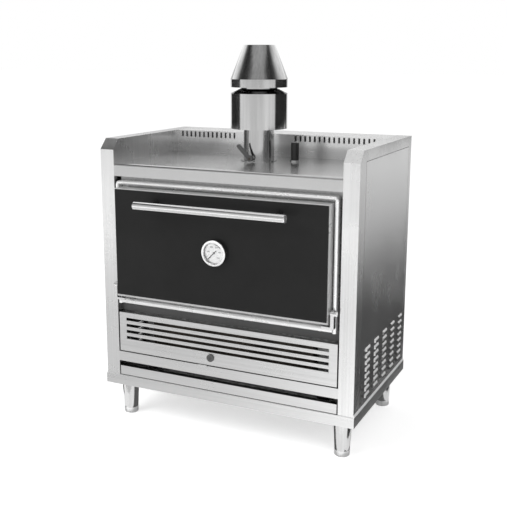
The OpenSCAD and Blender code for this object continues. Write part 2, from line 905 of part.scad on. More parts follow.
// Thick sill bar with a bullnose
module sill() color(c_bright) cabinet() {
    r = sill_h / 2;
    span([-lip_x, lip_x], [r - lip_reach, web_y], [frame_z, frame_z + sill_h]);
    rod_x([-lip_x, lip_x], r - lip_reach, frame_z + r, sill_h);
}

rack_inset = 3;
rack_x = mouth_x - rack_inset;
rack_front = 52;
rack_rear = firebox_rear - firebox_t - 10;
rack_bar = 10;

// Angle rails on the firebox walls for the two racks
module rack_rails() color(c_iron) cabinet() both() {
    wall_x = firebox_x - firebox_t;
    shelf = 20;
    t = 3;
    for (level = [lower_rack_z, upper_rack_z]) {
        span([wall_x - shelf, wall_x], [rack_front, rack_rear], [floor_z + level - t, floor_z + level]);
        span([wall_x - t, wall_x], [rack_front, rack_rear], [floor_z + level - shelf, floor_z + level]);
    }
}

// Grill rack: a square bar frame filled with round rods and a cross bar under them
module grill_rack(level) color(c_bright) cabinet() translate([0, 0, floor_z + level]) {
    rods = floor((rack_x - rack_bar - rod_d) / rod_pitch);
    middle_y = (rack_front + rack_rear) / 2;
    difference() {
        span([-rack_x, rack_x], [rack_front, rack_rear], [0, rack_bar]);
        span([rack_bar - rack_x, rack_x - rack_bar], [rack_front + rack_bar, rack_rear - rack_bar],
            [-1, rack_bar + 1]);
    }
    span([rack_bar - rack_x - eps, rack_x - rack_bar + eps], [middle_y - 3, middle_y + 3],
        [0, rack_bar / 2 - 1]);
    for (i = [-rods : rods])
        rod_y(i * rod_pitch, [rack_front + 2, rack_rear - 2], rack_bar / 2, rod_d);
}

module upper_grill_rack() grill_rack(upper_rack_z);
module lower_grill_rack() grill_rack(lower_rack_z);

grate_side_gap = 40;
grate_front_gap = 28;
grate_rear_gap = 24;

// Cast grate for the charcoal, standing on four feet
module charcoal_grate() color(c_iron) cabinet() translate([0, 0, floor_z]) {
    x = firebox_x - firebox_t - grate_side_gap;
    y = [firebox_y + firebox_t + grate_front_gap, firebox_rear - firebox_t - grate_rear_gap];
    rim = 14;
    foot_h = 40;
    thick = 16;
    bar = 10;
    pitch = 24;
    bars = floor((x - rim) / pitch);
    difference() {
        span([-x, x], y, [foot_h, foot_h + thick]);
        span([rim - x, x - rim], [y[0] + rim, y[1] - rim], [foot_h - 1, foot_h + thick + 1]);
    }
    for (i = [-bars : bars])
        span([i * pitch - bar / 2, i * pitch + bar / 2], [y[0] + rim - eps, y[1] - rim + eps],
            [foot_h, foot_h + thick]);
    for (side = [-1, 1], end = [y[0] + rim, y[1] - rim])
        rod_z(side * (x - rim), end, [0, foot_h + eps], 20);
}

// Tube from the firebox roof up to the neck
module smoke_collar() color(c_iron) cabinet() difference() {
    rod_z(0, flue_y, [firebox_top, joint_z], 2 * neck_r);
    rod_z(0, flue_y, [firebox_top - 1, joint_z + 1], flue_bore);
}

// Flue neck with its flange on the worktop and two bosses for the damper's shaft
module flue_neck() color(c_bright) cabinet() difference() {
    union() {
        rod_z(0, flue_y, [joint_z, neck_top], 2 * neck_r);
        rod_z(0, flue_y, [worktop_z, worktop_z + neck_flange_t], 2 * (neck_r + neck_flange_w));
        rod_y(0, [flue_y - neck_r - boss_len, flue_y + neck_r + boss_len / 2], damper_z, boss_d);
    }
    rod_z(0, flue_y, [joint_z - 1, neck_top + 1], flue_bore);
    rod_y(0, [flue_y - neck_r - boss_len - 1, flue_y + neck_r + boss_len], damper_z,
        damper_shaft_d + 2 * shaft_fit);
}

// Places a revolved outline, given as [radius, height], on the flue's axis
module flue_turn(outline) {
    translate([0, flue_y, 0]) rotate_extrude() polygon(outline);
}

// Firebreak drum: floor, straight wall, sloping shoulder and spigot
module firebreak_drum() color(c_bright) cabinet() {
    t = flue_sheet;
    flue_turn([
        [flue_r, neck_top], [drum_r, neck_top], [drum_r, drum_top], [spigot_r, shoulder_top],
        [spigot_r, shoulder_top + spigot_h], [spigot_r - t, shoulder_top + spigot_h],
        [spigot_r - t, shoulder_top - t], [drum_r - t, drum_top - t], [drum_r - t, neck_top + t],
        [flue_r, neck_top + t]
    ]);
}

// Spark baffle: a disc on three legs inside the drum
module spark_baffle() color(c_iron) cabinet() translate([0, flue_y, neck_top + flue_sheet]) {
    rod_z(0, 0, [baffle_rise, baffle_rise + baffle_t], 2 * baffle_r);
    for (turn = [0 : 120 : 240])
        rotate([0, 0, turn + 30])
            span([baffle_leg_r, baffle_leg_r + baffle_leg_t], [-baffle_leg_w / 2, baffle_leg_w / 2],
                [0, baffle_rise + eps]);
}

// Hat: straight rim, cone and an outlet sleeve inside the top edge
module flue_hat() color(c_side) cabinet() {
    t = flue_sheet;
    sleeve_z = hat_top - sleeve_h;
    difference() {
        flue_turn([
            [0, hat_z], [drum_r, hat_z], [drum_r, rim_top], [outlet_r, hat_top], [0, hat_top]
        ]);
        flue_turn([
            [0, hat_z - 1], [drum_r - t, hat_z - 1], [drum_r - t, rim_top - t / 2],
            [neck_r + (drum_r - outlet_r) * sleeve_h / cone_h, sleeve_z], [neck_r, sleeve_z], [0, sleeve_z]
        ]);
        difference() {
            flue_turn([
                [0, sleeve_z - eps], [neck_r + (drum_r - outlet_r) * sleeve_h / cone_h, sleeve_z - eps],
                [neck_r - t, hat_top - 1], [0, hat_top - 1]
            ]);
            rod_z(0, flue_y, [sleeve_z - 1, hat_top], 2 * neck_r);
        }
        rod_z(0, flue_y, [sleeve_z - 1, hat_top + 1], flue_bore);
    }
}

// Three struts between the drum's spigot and the hat's rim
module hat_struts() color(c_bright) cabinet() translate([0, flue_y, 0]) intersection() {
    difference() {
        rod_z(0, 0, [strut_z, strut_z + strut_h], 2 * (drum_r - flue_sheet));
        rod_z(0, 0, [strut_z - 1, strut_z + strut_h + 1], spigot_d);
    }
    for (turn = [0 : 120 : 240])
        rotate([0, 0, turn + 30])
            span([0, drum_r], [-strut_t / 2, strut_t / 2], [strut_z, strut_z + strut_h]);
}

// Places its children on the flue damper's axis, with +Z along the plate as it rests
module at_damper() {
    translate([0, flue_y, damper_z]) rotate([0, -damper_tilt, 0]) children();
}

lever_y = -neck_r - boss_len - slide_gap;

// Butterfly plate of the flue damper on its shaft
module flue_damper() color(c_iron) cabinet() at_damper() {
    plate_r = flue_r - damper_gap;
    translate([-damper_t / 2, 0, 0]) rotate([0, 90, 0]) cylinder(r = plate_r, h = damper_t);
    rod_y(0, [lever_y - lever_hub_t, neck_r + boss_len / 2 + 1], 0, damper_shaft_d);
}

// Lever of the flue damper with its hub
module damper_lever() color(c_black) cabinet() at_damper() difference() {
    front = lever_y - lever_hub_t;
    union() {
        rod_y(0, [front, lever_y], 0, lever_hub_d);
        span([-lever_w / 2, lever_w / 2], [front, front + lever_t], [0, lever_len]);
        rod_y(0, [front, front + lever_t], lever_len, lever_w);
    }
    rod_y(0, [front - 1, lever_y + 1], 0, damper_shaft_d);
}

// Throat plate under the firebox roof, with its arm and upright shaft
module throat_damper() color(c_iron) cabinet() {
    plate_z = roof_z - throat_gap - throat_t;
    arm_z = plate_z - throat_arm_t;
    away = norm([knob_dx, knob_dy]);
    rod_z(0, flue_y, [plate_z, plate_z + throat_t], 2 * throat_r);
    translate([knob_x, knob_y, 0]) {
        rotate([0, 0, atan2(-knob_dy, -knob_dx)])
            span([0, away], [-throat_arm_w / 2, throat_arm_w / 2], [arm_z, plate_z + eps]);
        rod_z(0, 0, [arm_z, plate_z], throat_arm_w);
        rod_z(0, 0, [arm_z, knob_z + knob_h - knob_cap], throat_shaft_d);
    }
}

// Black upright knob that turns the throat plate
module damper_knob() color(c_black) cabinet() translate([knob_x, knob_y, knob_z]) difference() {
    edge = 4;
    rotate_extrude() {
        square([knob_d / 2, knob_h - edge]);
        square([knob_d / 2 - edge, knob_h]);
        translate([knob_d / 2 - edge, knob_h - edge]) circle(r = edge);
    }
    rod_z(0, 0, [-1, knob_h - knob_cap], throat_shaft_d);
}

// Bright bearing collar under the knob, with its sleeve through the worktop
module knob_collar() color(c_bright) cabinet() translate([knob_x, knob_y, worktop_z]) difference() {
    union() {
        rod_z(0, 0, [0, knob_collar_t], knob_collar_d);
        rod_z(0, 0, [-knob_sleeve_h, eps], knob_sleeve_d);
    }
    rod_z(0, 0, [-knob_sleeve_h - 1, knob_collar_t + 1], throat_shaft_d + 2 * shaft_fit);
}

// Hole for the thermometer's probe through the door
module probe_hole() {
    rod_y(0, [plate_y - 1, plug_depth + 1], dial_z, stem_probe_d + 2 * pass_gap);
}

// Door shell: a pan with its open side to the oven
module door_shell() color(c_bright) cabinet() difference() {
    span([-door_x, door_x], [-door_t, 0], [door_z, door_top]);
    span([door_sheet - door_x, door_x - door_sheet], [door_sheet - door_t, 1],
        [door_z + door_sheet, door_top - door_sheet]);
    rod_x([-door_x - 1, door_x + 1], pivot_y, pivot_z, pin_d + 2 * pass_gap);
    probe_hole();
}

// Black plate over the door's front
module door_front_plate() color(c_black) cabinet() difference() {
    span([trim_side - door_x, door_x - trim_side], [plate_y, -door_t],
        [door_z + trim_bottom, door_top - trim_side]);
    probe_hole();
}

block_x = [door_x - door_sheet - block_w, door_x - door_sheet];
block_z = [pivot_z - block_h / 2, pivot_z + block_h / 2];
block_y = [door_sheet - door_t, -door_sheet];

// Mineral wool in the door and in its plug
module door_insulation() color(c_wool) cabinet() difference() {
    union() {
        span([door_sheet - door_x, door_x - door_sheet], block_y,
            [door_z + door_sheet, door_top - door_sheet]);
        span([door_sheet - plug_x, plug_x - door_sheet], [-door_sheet - eps, plug_depth - door_sheet],
            [plug_z + door_sheet, plug_top - door_sheet]);
    }
    both() span([block_x[0], block_x[1] + 1], block_y, block_z);
    probe_hole();
}

// Door liner: a flange that closes the pan and a raised plug that enters the mouth
module door_liner() color(c_side) cabinet() difference() {
    union() {
        span([door_sheet - door_x, door_x - door_sheet], [-door_sheet, 0],
            [door_z + door_sheet, door_top - door_sheet]);
        span([-plug_x, plug_x], [-eps, plug_depth], [plug_z, plug_top]);
    }
    span([door_sheet - plug_x, plug_x - door_sheet], [-door_sheet - 1, plug_depth - door_sheet],
        [plug_z + door_sheet, plug_top - door_sheet]);
    probe_hole();
}

// Flat rope seal that meets the firebox mouth
module door_seal() color(c_dial) cabinet() {
    out = (mouth_wall + seal_w) / 2;
    difference() {
        mouth(out, [0, seal_t]);
        mouth(out - seal_w, [-1, seal_t + 1]);
    }
}

// Blocks in the door's lower corners that turn on the hinge pins
module door_pivot_blocks() color(c_iron) cabinet() both() difference() {
    span(block_x, block_y, block_z);
    rod_x([block_x[0] - 1, block_x[1] + 1], pivot_y, pivot_z, pin_d + 2 * shaft_fit);
}

// Round handle bar with chamfered ends
module handle_bar() color(c_bright) cabinet() {
    half = handle_len / 2;
    end_d = handle_d - 2 * handle_edge;
    translate([-half, handle_y, handle_z]) rotate([0, 90, 0]) {
        cylinder(d1 = end_d, d2 = handle_d, h = handle_edge);
        translate([0, 0, handle_edge]) cylinder(d = handle_d, h = handle_len - 2 * handle_edge);
        translate([0, 0, handle_len - handle_edge]) cylinder(d1 = handle_d, d2 = end_d, h = handle_edge);
    }
}

// Posts that carry the handle bar, with a flange on the front plate
module handle_posts() color(c_black) cabinet() both() difference() {
    flange_d = handle_post_d + 8;
    flange_t = 4;
    union() {
        rod_y(post_span / 2, [handle_y, plate_y], handle_z, handle_post_d);
        rod_y(post_span / 2, [plate_y - flange_t, plate_y], handle_z, flange_d);
    }
    rod_x([0, handle_len], handle_y, handle_z, handle_d);
}

// Places its children at the thermometer's centre on the front plate, with +Z forwards
module at_dial() {
    translate([0, plate_y, dial_z]) rotate([90, 0, 0]) children();
}

// Thermometer case with a ledge for the dial and the probe behind it
module thermometer_case() color(c_side) cabinet() at_dial() {
    probe_end = probe_len - plate_y;
    difference() {
        cylinder(d = case_d, h = case_len);
        translate([0, 0, case_back]) cylinder(d = ledge_d, h = case_len);
        translate([0, 0, dial_len]) cylinder(d = case_bore, h = case_len);
    }
    translate([0, 0, -probe_end]) cylinder(d = stem_probe_d, h = probe_end + eps);
}

// Bezel that holds the glass on the case
module thermometer_bezel() color(c_bright) cabinet() at_dial() {
    front = case_len + glass_t;
    difference() {
        translate([0, 0, front + bezel_t - bezel_len]) cylinder(d = dial_d, h = bezel_len - 1);
        translate([0, 0, -1]) cylinder(d = case_d, h = front + 1);
        cylinder(d = dial_d - 2 * bezel_lip, h = front + bezel_t + 1);
    }
    difference() {
        translate([0, 0, front + bezel_t - 1]) cylinder(d1 = dial_d, d2 = dial_d - 2, h = 1);
        cylinder(d = dial_d - 2 * bezel_lip, h = front + bezel_t + 1);
    }
}

// Dial with the needle's spindle
module thermometer_dial() color(c_dial) cabinet() at_dial() translate([0, 0, dial_len]) {
    cylinder(d = case_bore, h = dial_t);
    cylinder(d = spindle_d, h = dial_t + needle_off + needle_t + 0.8);
}

// Needle with its hub and tail
module thermometer_needle() color(c_black) cabinet() at_dial()
    translate([0, 0, dial_len + dial_t + needle_off]) rotate([0, 0, 180 + cold_turn]) difference() {
        union() {
            cylinder(d = needle_hub_d, h = needle_t);
            translate([0, -needle_w / 2, 0]) cube([case_bore / 2 - 8, needle_w, needle_t]);
            translate([-12, -needle_w / 2, 0]) cube([12, needle_w, needle_t]);
        }
        translate([0, 0, -1]) cylinder(d = spindle_d + 2 * shaft_fit, h = needle_t + 2);
    }

// Glass over the dial
module thermometer_glass() color(c_glass) cabinet() at_dial()
    translate([0, 0, case_len]) cylinder(d = glass_d, h = glass_t);

// Hinge brackets: a foot on the sill and a cheek beside the door
module hinge_brackets() color(c_bright) cabinet() both() {
    base = frame_z + sill_h;
    difference() {
        union() {
            span([bracket_x, bracket_out], [bracket_y, -lip_reach], [base, pivot_z]);
            intersection() {
                rod_x([bracket_x, bracket_out], pivot_y, pivot_z, 2 * bracket_r);
                span([bracket_x, bracket_out], [bracket_y, -lip_reach], [pivot_z - eps, pivot_z + bracket_r]);
            }
        }
        rod_x([bracket_x - 1, bracket_out + 1], pivot_y, pivot_z, pin_d + 2 * shaft_fit);
    }
    span([lip_x - bracket_foot_w, lip_x], [-lip_reach, bracket_foot_rear], [base, base + bracket_foot_t]);
    span([lip_x - bracket_foot_w, bracket_out], [bracket_y, -lip_reach + eps], [base, base + bracket_foot_t]);
}

// Hinge pins with round heads outside the brackets
module hinge_pins() color(c_bright) cabinet() both() {
    rod_x([block_x[0] + 1, bracket_out + eps], pivot_y, pivot_z, pin_d);
    rod_x([bracket_out, bracket_out + pin_head_t], pivot_y, pivot_z, pin_head_d);
}

// Ash pan with two arms to the drawer front
module ash_pan() color(c_iron) cabinet() {
    x = pan_w / 2;
    z = pan_z + slide_gap;
    difference() {
        span([-x, x], [pan_y, pan_y + pan_d], [z, pan_top]);
        span([pan_t - x, x - pan_t], [pan_y + pan_t, pan_y + pan_d - pan_t], [z + pan_t, pan_top + 1]);
    }
    both() span([x - arm_w, x], [sheet, pan_y + eps], [z, z + arm_h]);
}

first_slot_z = recess_z - slot_top_drop - slot_h / 2;

// Drawer front: a folded sheet with long pressed louvres, each open along its top
module drawer_front() color(c_steel) cabinet() {
    x = drawer_x;
    z = [drawer_z, recess_z];
    difference() {
        union() {
            difference() {
                span([-x, x], [0, drawer_flange], z);
                span([sheet - x, x - sheet], [sheet, drawer_flange + 1], [z[0] + sheet, z[1] - sheet]);
            }
            at_slots() rotate([180, 0, 0]) louvre_skin(slot_len, bulge_h, bulge_out);
        }
        at_slots() rotate([180, 0, 0]) louvre_hollow(slot_len, bulge_h, bulge_out, bulge_t);
        for (i = [0 : slot_rows - 1])
            translate([0, 0, first_slot_z - i * slot_pitch])
                span([-slot_len / 2, slot_len / 2], [-1, sheet + 1], [-slot_h / 2, slot_h / 2]);
        span([-x - 1, x + 1], [-1, 0.5], [z[0] + fold_rise, z[0] + fold_rise + 1.2]);
        rod_y(-lock_x, [-1, sheet + 1], z[0] + lock_rise, lock_barrel_d);
    }
}

// Places its children under each drawer slot, with their length along X and their crown forwards
module at_slots() {
    for (i = [0 : slot_rows - 1])
        translate([0, 0, first_slot_z - i * slot_pitch - slot_h / 2 - bulge_h / 2 + 2])
            rotate([0, 0, -90]) children();
}

// Lock housing: a round rosette and its barrel through the drawer front
module lock_housing() color(c_bright) cabinet() translate([-lock_x, 0, drawer_z + lock_rise]) difference() {
    union() {
        rod_y(0, [-lock_out, 0], 0, lock_d);
        rod_y(0, [-eps, lock_barrel], 0, lock_barrel_d);
    }
    rod_y(0, [-lock_out - 1, lock_barrel + 1], 0, lock_core_d + 2 * shaft_fit);
}

// Lock core with its key slot and the cam behind it
module lock_core() color(c_dark) cabinet() translate([-lock_x, 0, drawer_z + lock_rise]) {
    key_w = 2;
    key_h = 9;
    difference() {
        rod_y(0, [0.5 - lock_out, lock_barrel + slide_gap + cam_t], 0, lock_core_d);
        span([-key_w / 2, key_w / 2], [-lock_out, 2], [-key_h / 2, key_h / 2]);
    }
    translate([0, lock_barrel + slide_gap, 0]) {
        span([0, cam_len], [0, cam_t], [-cam_w / 2, cam_w / 2]);
        rod_y(0, [0, cam_t], 0, lock_core_d + 4);
    }
}

// Runners on the casing supports, one shelf and one web at each side of the pan
module drawer_runners() color(c_steel) cabinet() both() {
    x = support_x;
    span([x - runner_shelf, x], [runner_front, runner_rear], [pan_z - runner_t, pan_z]);
    span([x - sheet, x], [runner_front, runner_rear], [pan_z - runner_t, pan_z + runner_h]);
}

// Air slots of register and shutter, through the given heights
module air_slots(z) {
    first = -(register_slots - 1) * register_pitch / 2;
    middle_y = register_y + register_d / 2;
    for (i = [0 : register_slots - 1])
        translate([first + i * register_pitch, middle_y, 0])
            span([-register_slot_w / 2, register_slot_w / 2], [-air_slot_d / 2, air_slot_d / 2], z);
}

// Fixed register plate with a guide along each edge
module air_register() color(c_steel) cabinet() {
    y = [register_y, register_y + register_d];
    z = register_z + register_t;
    difference() {
        span([-bay, bay], y, [register_z, z]);
        air_slots([register_z - 1, z + 1]);
    }
    span([-bay, bay], [y[0], y[0] + guide_w], [z - eps, z + guide_h]);
    span([-bay, bay], [y[0], y[0] + guide_w + guide_lip], [z + guide_h - guide_lip_t, z + guide_h]);
    span([-bay, bay], [y[1] - guide_w, y[1]], [z - eps, z + guide_h]);
    span([-bay, bay], [y[1] - guide_w - guide_lip, y[1]], [z + guide_h - guide_lip_t, z + guide_h]);
}

// Sliding shutter with the tab that comes out under the drawer
module draft_shutter() color(c_bright) cabinet() {
    x = bay - shutter_end;
    side = guide_w + slide_gap;
    y = [register_y + side, register_y + register_d - side];
    z = register_z + register_t + slide_gap;
    tab_z = middle_top + tab_clear;
    tab = [tab_x - tab_w / 2, tab_x + tab_w / 2];
    difference() {
        span([-x, x], y, [z, z + shutter_t]);
        air_slots([z - 1, z + shutter_t + 1]);
    }
    span(tab, [tab_y, tab_y + tab_t], [z + shutter_t - eps, tab_z + tab_t]);
    span(tab, [tab_front - tab_t, tab_y + tab_t], [tab_z, tab_z + tab_t]);
    span(tab, [tab_front - tab_t, tab_front], [middle_top - tab_drop, tab_z + tab_t]);
}

base_frame();
legs();
foot_front_left();
foot_front_right();
foot_rear_left();
foot_rear_right();
side_frame_left();
side_frame_right();
side_panel_left();
side_panel_right();
rear_panel();
worktop();
rear_vent_box();
middle_rail();
plinth_rail();
recess_panel();
casing_supports();
oven_casing();
casing_insulation();
firebox();
front_frame();
sill();
rack_rails();
upper_grill_rack();
lower_grill_rack();
charcoal_grate();
smoke_collar();
flue_neck();
firebreak_drum();
spark_baffle();
flue_hat();
hat_struts();
flue_damper();
damper_lever();
throat_damper();
damper_knob();
knob_collar();
door_shell();
door_front_plate();
door_insulation();
door_liner();
door_seal();
door_pivot_blocks();
handle_bar();
handle_posts();
thermometer_case();
thermometer_bezel();
thermometer_dial();
thermometer_needle();
thermometer_glass();
hinge_brackets();
hinge_pins();
ash_pan();
drawer_front();
lock_housing();
lock_core();
drawer_runners();
air_register();
draft_shutter();
rear_screws();
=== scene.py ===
import json
import math

import bmesh
import bpy
from mathutils import Matrix, Vector


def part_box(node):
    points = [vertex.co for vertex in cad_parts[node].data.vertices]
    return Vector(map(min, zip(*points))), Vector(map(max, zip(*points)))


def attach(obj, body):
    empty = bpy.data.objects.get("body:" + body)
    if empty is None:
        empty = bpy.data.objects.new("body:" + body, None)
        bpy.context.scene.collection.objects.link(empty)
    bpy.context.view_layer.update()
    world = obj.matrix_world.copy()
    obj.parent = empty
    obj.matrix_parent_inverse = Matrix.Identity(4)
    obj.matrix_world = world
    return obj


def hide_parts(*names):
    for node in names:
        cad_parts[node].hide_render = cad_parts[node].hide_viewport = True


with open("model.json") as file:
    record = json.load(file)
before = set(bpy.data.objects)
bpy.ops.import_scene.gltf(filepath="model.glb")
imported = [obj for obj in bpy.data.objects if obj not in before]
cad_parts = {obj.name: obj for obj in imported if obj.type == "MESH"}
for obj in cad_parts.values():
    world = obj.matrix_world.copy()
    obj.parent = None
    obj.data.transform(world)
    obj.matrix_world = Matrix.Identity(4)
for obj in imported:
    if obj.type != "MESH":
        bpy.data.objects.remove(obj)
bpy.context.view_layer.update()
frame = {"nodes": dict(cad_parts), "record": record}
NODES = frame["nodes"]

# The looks of the charcoal oven, in metres and degrees, with its front towards -Y
MM = 0.001


# Camera: the photograph's own view, solved from the cabinet's edges
PHOTO_WIDTH = 507
FOCAL_PIXELS = 843.1
SENSOR_MM = 36.0
CAMERA_PLACE = (1.2188, -2.59885, 1.2672)
CAMERA_TILT = 78.20
CAMERA_ROLL = -0.08
CAMERA_TURN = 25.39
CAMERA_SHIFT = (0.00986, -0.0396)
CAMERA_REACH = 200.0


def add_camera():
    lens = bpy.data.cameras.new("camera")
    lens.sensor_width = SENSOR_MM
    lens.lens = FOCAL_PIXELS * SENSOR_MM / PHOTO_WIDTH
    lens.shift_x, lens.shift_y = CAMERA_SHIFT
    lens.clip_end = CAMERA_REACH
    camera = bpy.data.objects.new("camera", lens)
    camera.location = CAMERA_PLACE
    camera.rotation_euler = [math.radians(a) for a in (CAMERA_TILT, CAMERA_ROLL, CAMERA_TURN)]
    bpy.context.scene.collection.objects.link(camera)
    bpy.context.scene.camera = camera


# Sockets of Blender's colour Mix node
MIX_FIRST, MIX_SECOND, MIX_RESULT = 6, 7, 2


class Nodes:
    """Short calls for the shader nodes that repeat in the materials."""

    def __init__(self, tree):
        self.tree = tree
        self.tree.nodes.clear()

    def add(self, kind, **sockets):
        node = self.tree.nodes.new("ShaderNode" + kind)
        for name, value in sockets.items():
            self.put(node, name.replace("_", " "), value)
        return node

    def put(self, node, socket, value):
        """Sets an input, or links it where the value is another node's output."""
        if isinstance(value, bpy.types.NodeSocket):
            self.tree.links.new(value, node.inputs[socket])
        else:
            node.inputs[socket].default_value = value

    def math(self, operation, first, second=0.0):
        node = self.tree.nodes.new("ShaderNodeMath")
        node.operation = operation
        self.put(node, 0, first)
        self.put(node, 1, second)
        return node.outputs[0]

    def remap(self, value, low, high, to_low, to_high):
        node = self.add("MapRange", Value=value, From_Min=low, From_Max=high, To_Min=to_low, To_Max=to_high)
        return node.outputs["Result"]

    def mix(self, factor, first, second):
        """A colour between two, by a factor from 0 to 1."""
        node = self.add("Mix", Factor=factor)
        node.data_type = "RGBA"
        self.put(node, MIX_FIRST, first)
        self.put(node, MIX_SECOND, second)
        return node.outputs[MIX_RESULT]

    def axes(self, source):
        """The X, Y and Z of one of the texture coordinates."""
        return self.add("SeparateXYZ", Vector=self.add("TexCoord").outputs[source]).outputs

    def noise(self, scale, detail=3.0, roughness=0.5):
        """Noise on the object's own coordinates in metres, stretched by a scale for each axis."""
        node = self.add("TexNoise", Vector=self.place(scale), Scale=1.0, Detail=detail, Roughness=roughness)
        return node.outputs["Fac"]

    def place(self, scale):
        """The object's own coordinates, stretched by a scale for each axis."""
        source = self.add("TexCoord").outputs["Object"]
        return self.add("Mapping", Vector=source, Scale=scale).outputs["Vector"]

    def ramp(self, value, *stops):
        """A colour by value. Each stop is its place and a grey level or a colour."""
        node = self.add("ValToRGB", Fac=value)
        elements = node.color_ramp.elements
        while len(elements) < len(stops):
            elements.new(0.5)
        for element, (place, level) in zip(elements, stops):
            element.position = place
            element.color = grey(level) if isinstance(level, (int, float)) else (*level, 1.0)
        return node.outputs["Color"]

    def tone(self, level):
        """A grey whose level is another node's output."""
        return self.add("CombineColor", Red=level, Green=level, Blue=level).outputs[0]

    def bump(self, height, depth, strength=1.0):
        node = self.add("Bump", Height=height, Distance=depth, Strength=strength)
        return node.outputs["Normal"]

    def finish(self, **sockets):
        """Ends a surface with the one shader that carries its values."""
        shader = self.add("BsdfPrincipled", **sockets)
        self.put(self.add("OutputMaterial"), "Surface", shader.outputs[0])


def grey(level):
    return (level, level, level, 1.0)


def even(scale):
    """The same scale along all three axes."""
    return (scale, scale, scale)


# The materials made so far, by name
MATERIALS = {}


def new_material(name):
    """Adds a material to MATERIALS and gives its nodes."""
    material = bpy.data.materials.new(name)
    material.use_nodes = True
    MATERIALS[name] = material
    return Nodes(material.node_tree)


# Scales of the steel's noise, in waves to the metre, across the grain and along it
GRAIN_FINE = 1400.0
GRAIN_LONG = 5.0
STREAK_FINE = 130.0
STREAK_LONG = 1.6
STREAK_BROAD = 26.0
SMUDGE_SCALE = 5.0
STREAK_DULL = 0.02

# Parts of the noise's range over which a material changes
WIDE_SPAN = (0.3, 0.7)
NARROW_SPAN = (0.35, 0.65)

# Values of the normal between which a face starts to look sideways or to the front, and up
ACROSS_SPAN = (0.6, 0.8)
UP_SPAN = (0.25, 0.45)

# Painted highlight on sheet where it leans back: its level, how metallic it is and how much duller
LEAN_HIGHLIGHT_LEVEL = 0.90
LEAN_HIGHLIGHT_METALLIC = 0.25
LEAN_HIGHLIGHT_DULL = 0.2


def along(axis, fine, long):
    """A scale for noise whose streaks run along one axis."""
    return [long if i == "xyz".index(axis) else fine for i in range(3)]


def brushed(name, level, rough, axis, spread=0.06, smudge=0.06, grain=0.00002, metallic=1.0,
            side_level=None, side_metallic=None, front_level=None, top_level=None, foot_level=None,
            lean_highlight=None, broad=0.0):
    """Steel with a brushed grain along one axis, faint streaks and smudges.

    side_level, front_level and top_level are levels painted on the faces that look sideways, to the front
    or back, and up, as painted light and shade. side_metallic is how metallic the first are. foot_level =
    (level, z0, z1) paints shade low down: the level below the height z0, which grows to the plain one at
    z1. lean_highlight paints a highlight: the steel is paler, less metallic and duller where it leans back,
    as on a louvre's hood, from the first to the second value of its normal's Z.
    broad is the strength of wide streaks.
    """
    n = new_material(name)
    streaks = n.noise(along(axis, STREAK_FINE, STREAK_LONG), 4.0, 0.6)
    fine = n.noise(along(axis, GRAIN_FINE, GRAIN_LONG), 2.0)
    smudges = n.noise(even(SMUDGE_SCALE), 4.0, 0.55)
    facing = n.axes("Normal")
    sideways = n.math("ABSOLUTE", facing["X"])
    mean = level
    # Levels by facing: painted light and shade
    if side_level is not None:
        mean = n.remap(sideways, *ACROSS_SPAN, level, side_level)
    if side_metallic is not None:
        metallic = n.remap(sideways, *ACROSS_SPAN, metallic, side_metallic)
    # Painted shade: darker below a height
    if foot_level is not None:
        low, z0, z1 = foot_level
        mean = n.remap(n.axes("Object")["Z"], z0, z1, low, mean)
    if front_level is not None:
        mean = n.remap(n.math("ABSOLUTE", facing["Y"]), *ACROSS_SPAN, mean, front_level)
    if top_level is not None:
        mean = n.remap(facing["Z"], *UP_SPAN, mean, top_level)
    if broad:
        wide = n.noise(along(axis, STREAK_BROAD, STREAK_LONG), 2.0)
        mean = n.math("MULTIPLY", mean, n.remap(wide, *NARROW_SPAN, 1 - broad, 1 + broad))
    # Painted highlight: paler, less metallic and duller where the face leans back
    if lean_highlight:
        leaning = n.remap(facing["Z"], *lean_highlight, 0.0, 1.0)
        mean = n.remap(leaning, 0.0, 1.0, mean, LEAN_HIGHLIGHT_LEVEL)
        metallic = n.remap(leaning, 0.0, 1.0, metallic, LEAN_HIGHLIGHT_METALLIC)
    tone = n.math("MULTIPLY", mean, n.remap(streaks, *WIDE_SPAN, 1 - spread, 1 + spread))
    roughness = n.math("ADD", n.remap(smudges, *NARROW_SPAN, rough - smudge, rough + smudge),
                       n.remap(streaks, *WIDE_SPAN, -STREAK_DULL, STREAK_DULL))
    if lean_highlight:
        roughness = n.math("ADD", roughness, n.math("MULTIPLY", leaning, LEAN_HIGHLIGHT_DULL))
    n.finish(Base_Color=n.tone(tone), Metallic=metallic, Roughness=roughness, Normal=n.bump(fine, grain))


PATCH_SCALE = 6.0
PEEL_SCALE = 900.0
PEEL_DEPTH = 0.00002
PATCH_DULL = 0.05


def painted(name, low, high, rough, specular=0.5):
    """A dark coating with faint patches and a fine orange peel."""
    n = new_material(name)
    patches = n.noise(even(PATCH_SCALE), 5.0, 0.6)
    peel = n.noise(even(PEEL_SCALE), 2.0)
    n.finish(Base_Color=n.tone(n.remap(patches, *WIDE_SPAN, low, high)),
             Roughness=n.remap(patches, *WIDE_SPAN, rough + PATCH_DULL, rough - PATCH_DULL),
             Specular_IOR_Level=specular, Normal=n.bump(peel, PEEL_DEPTH))


SOOT_SCALE = (9.0, 9.0, 5.0)
SCALE_GRIT = 240.0
SCALE_DEPTH = 0.0003
SCALE_DULL = 0.1


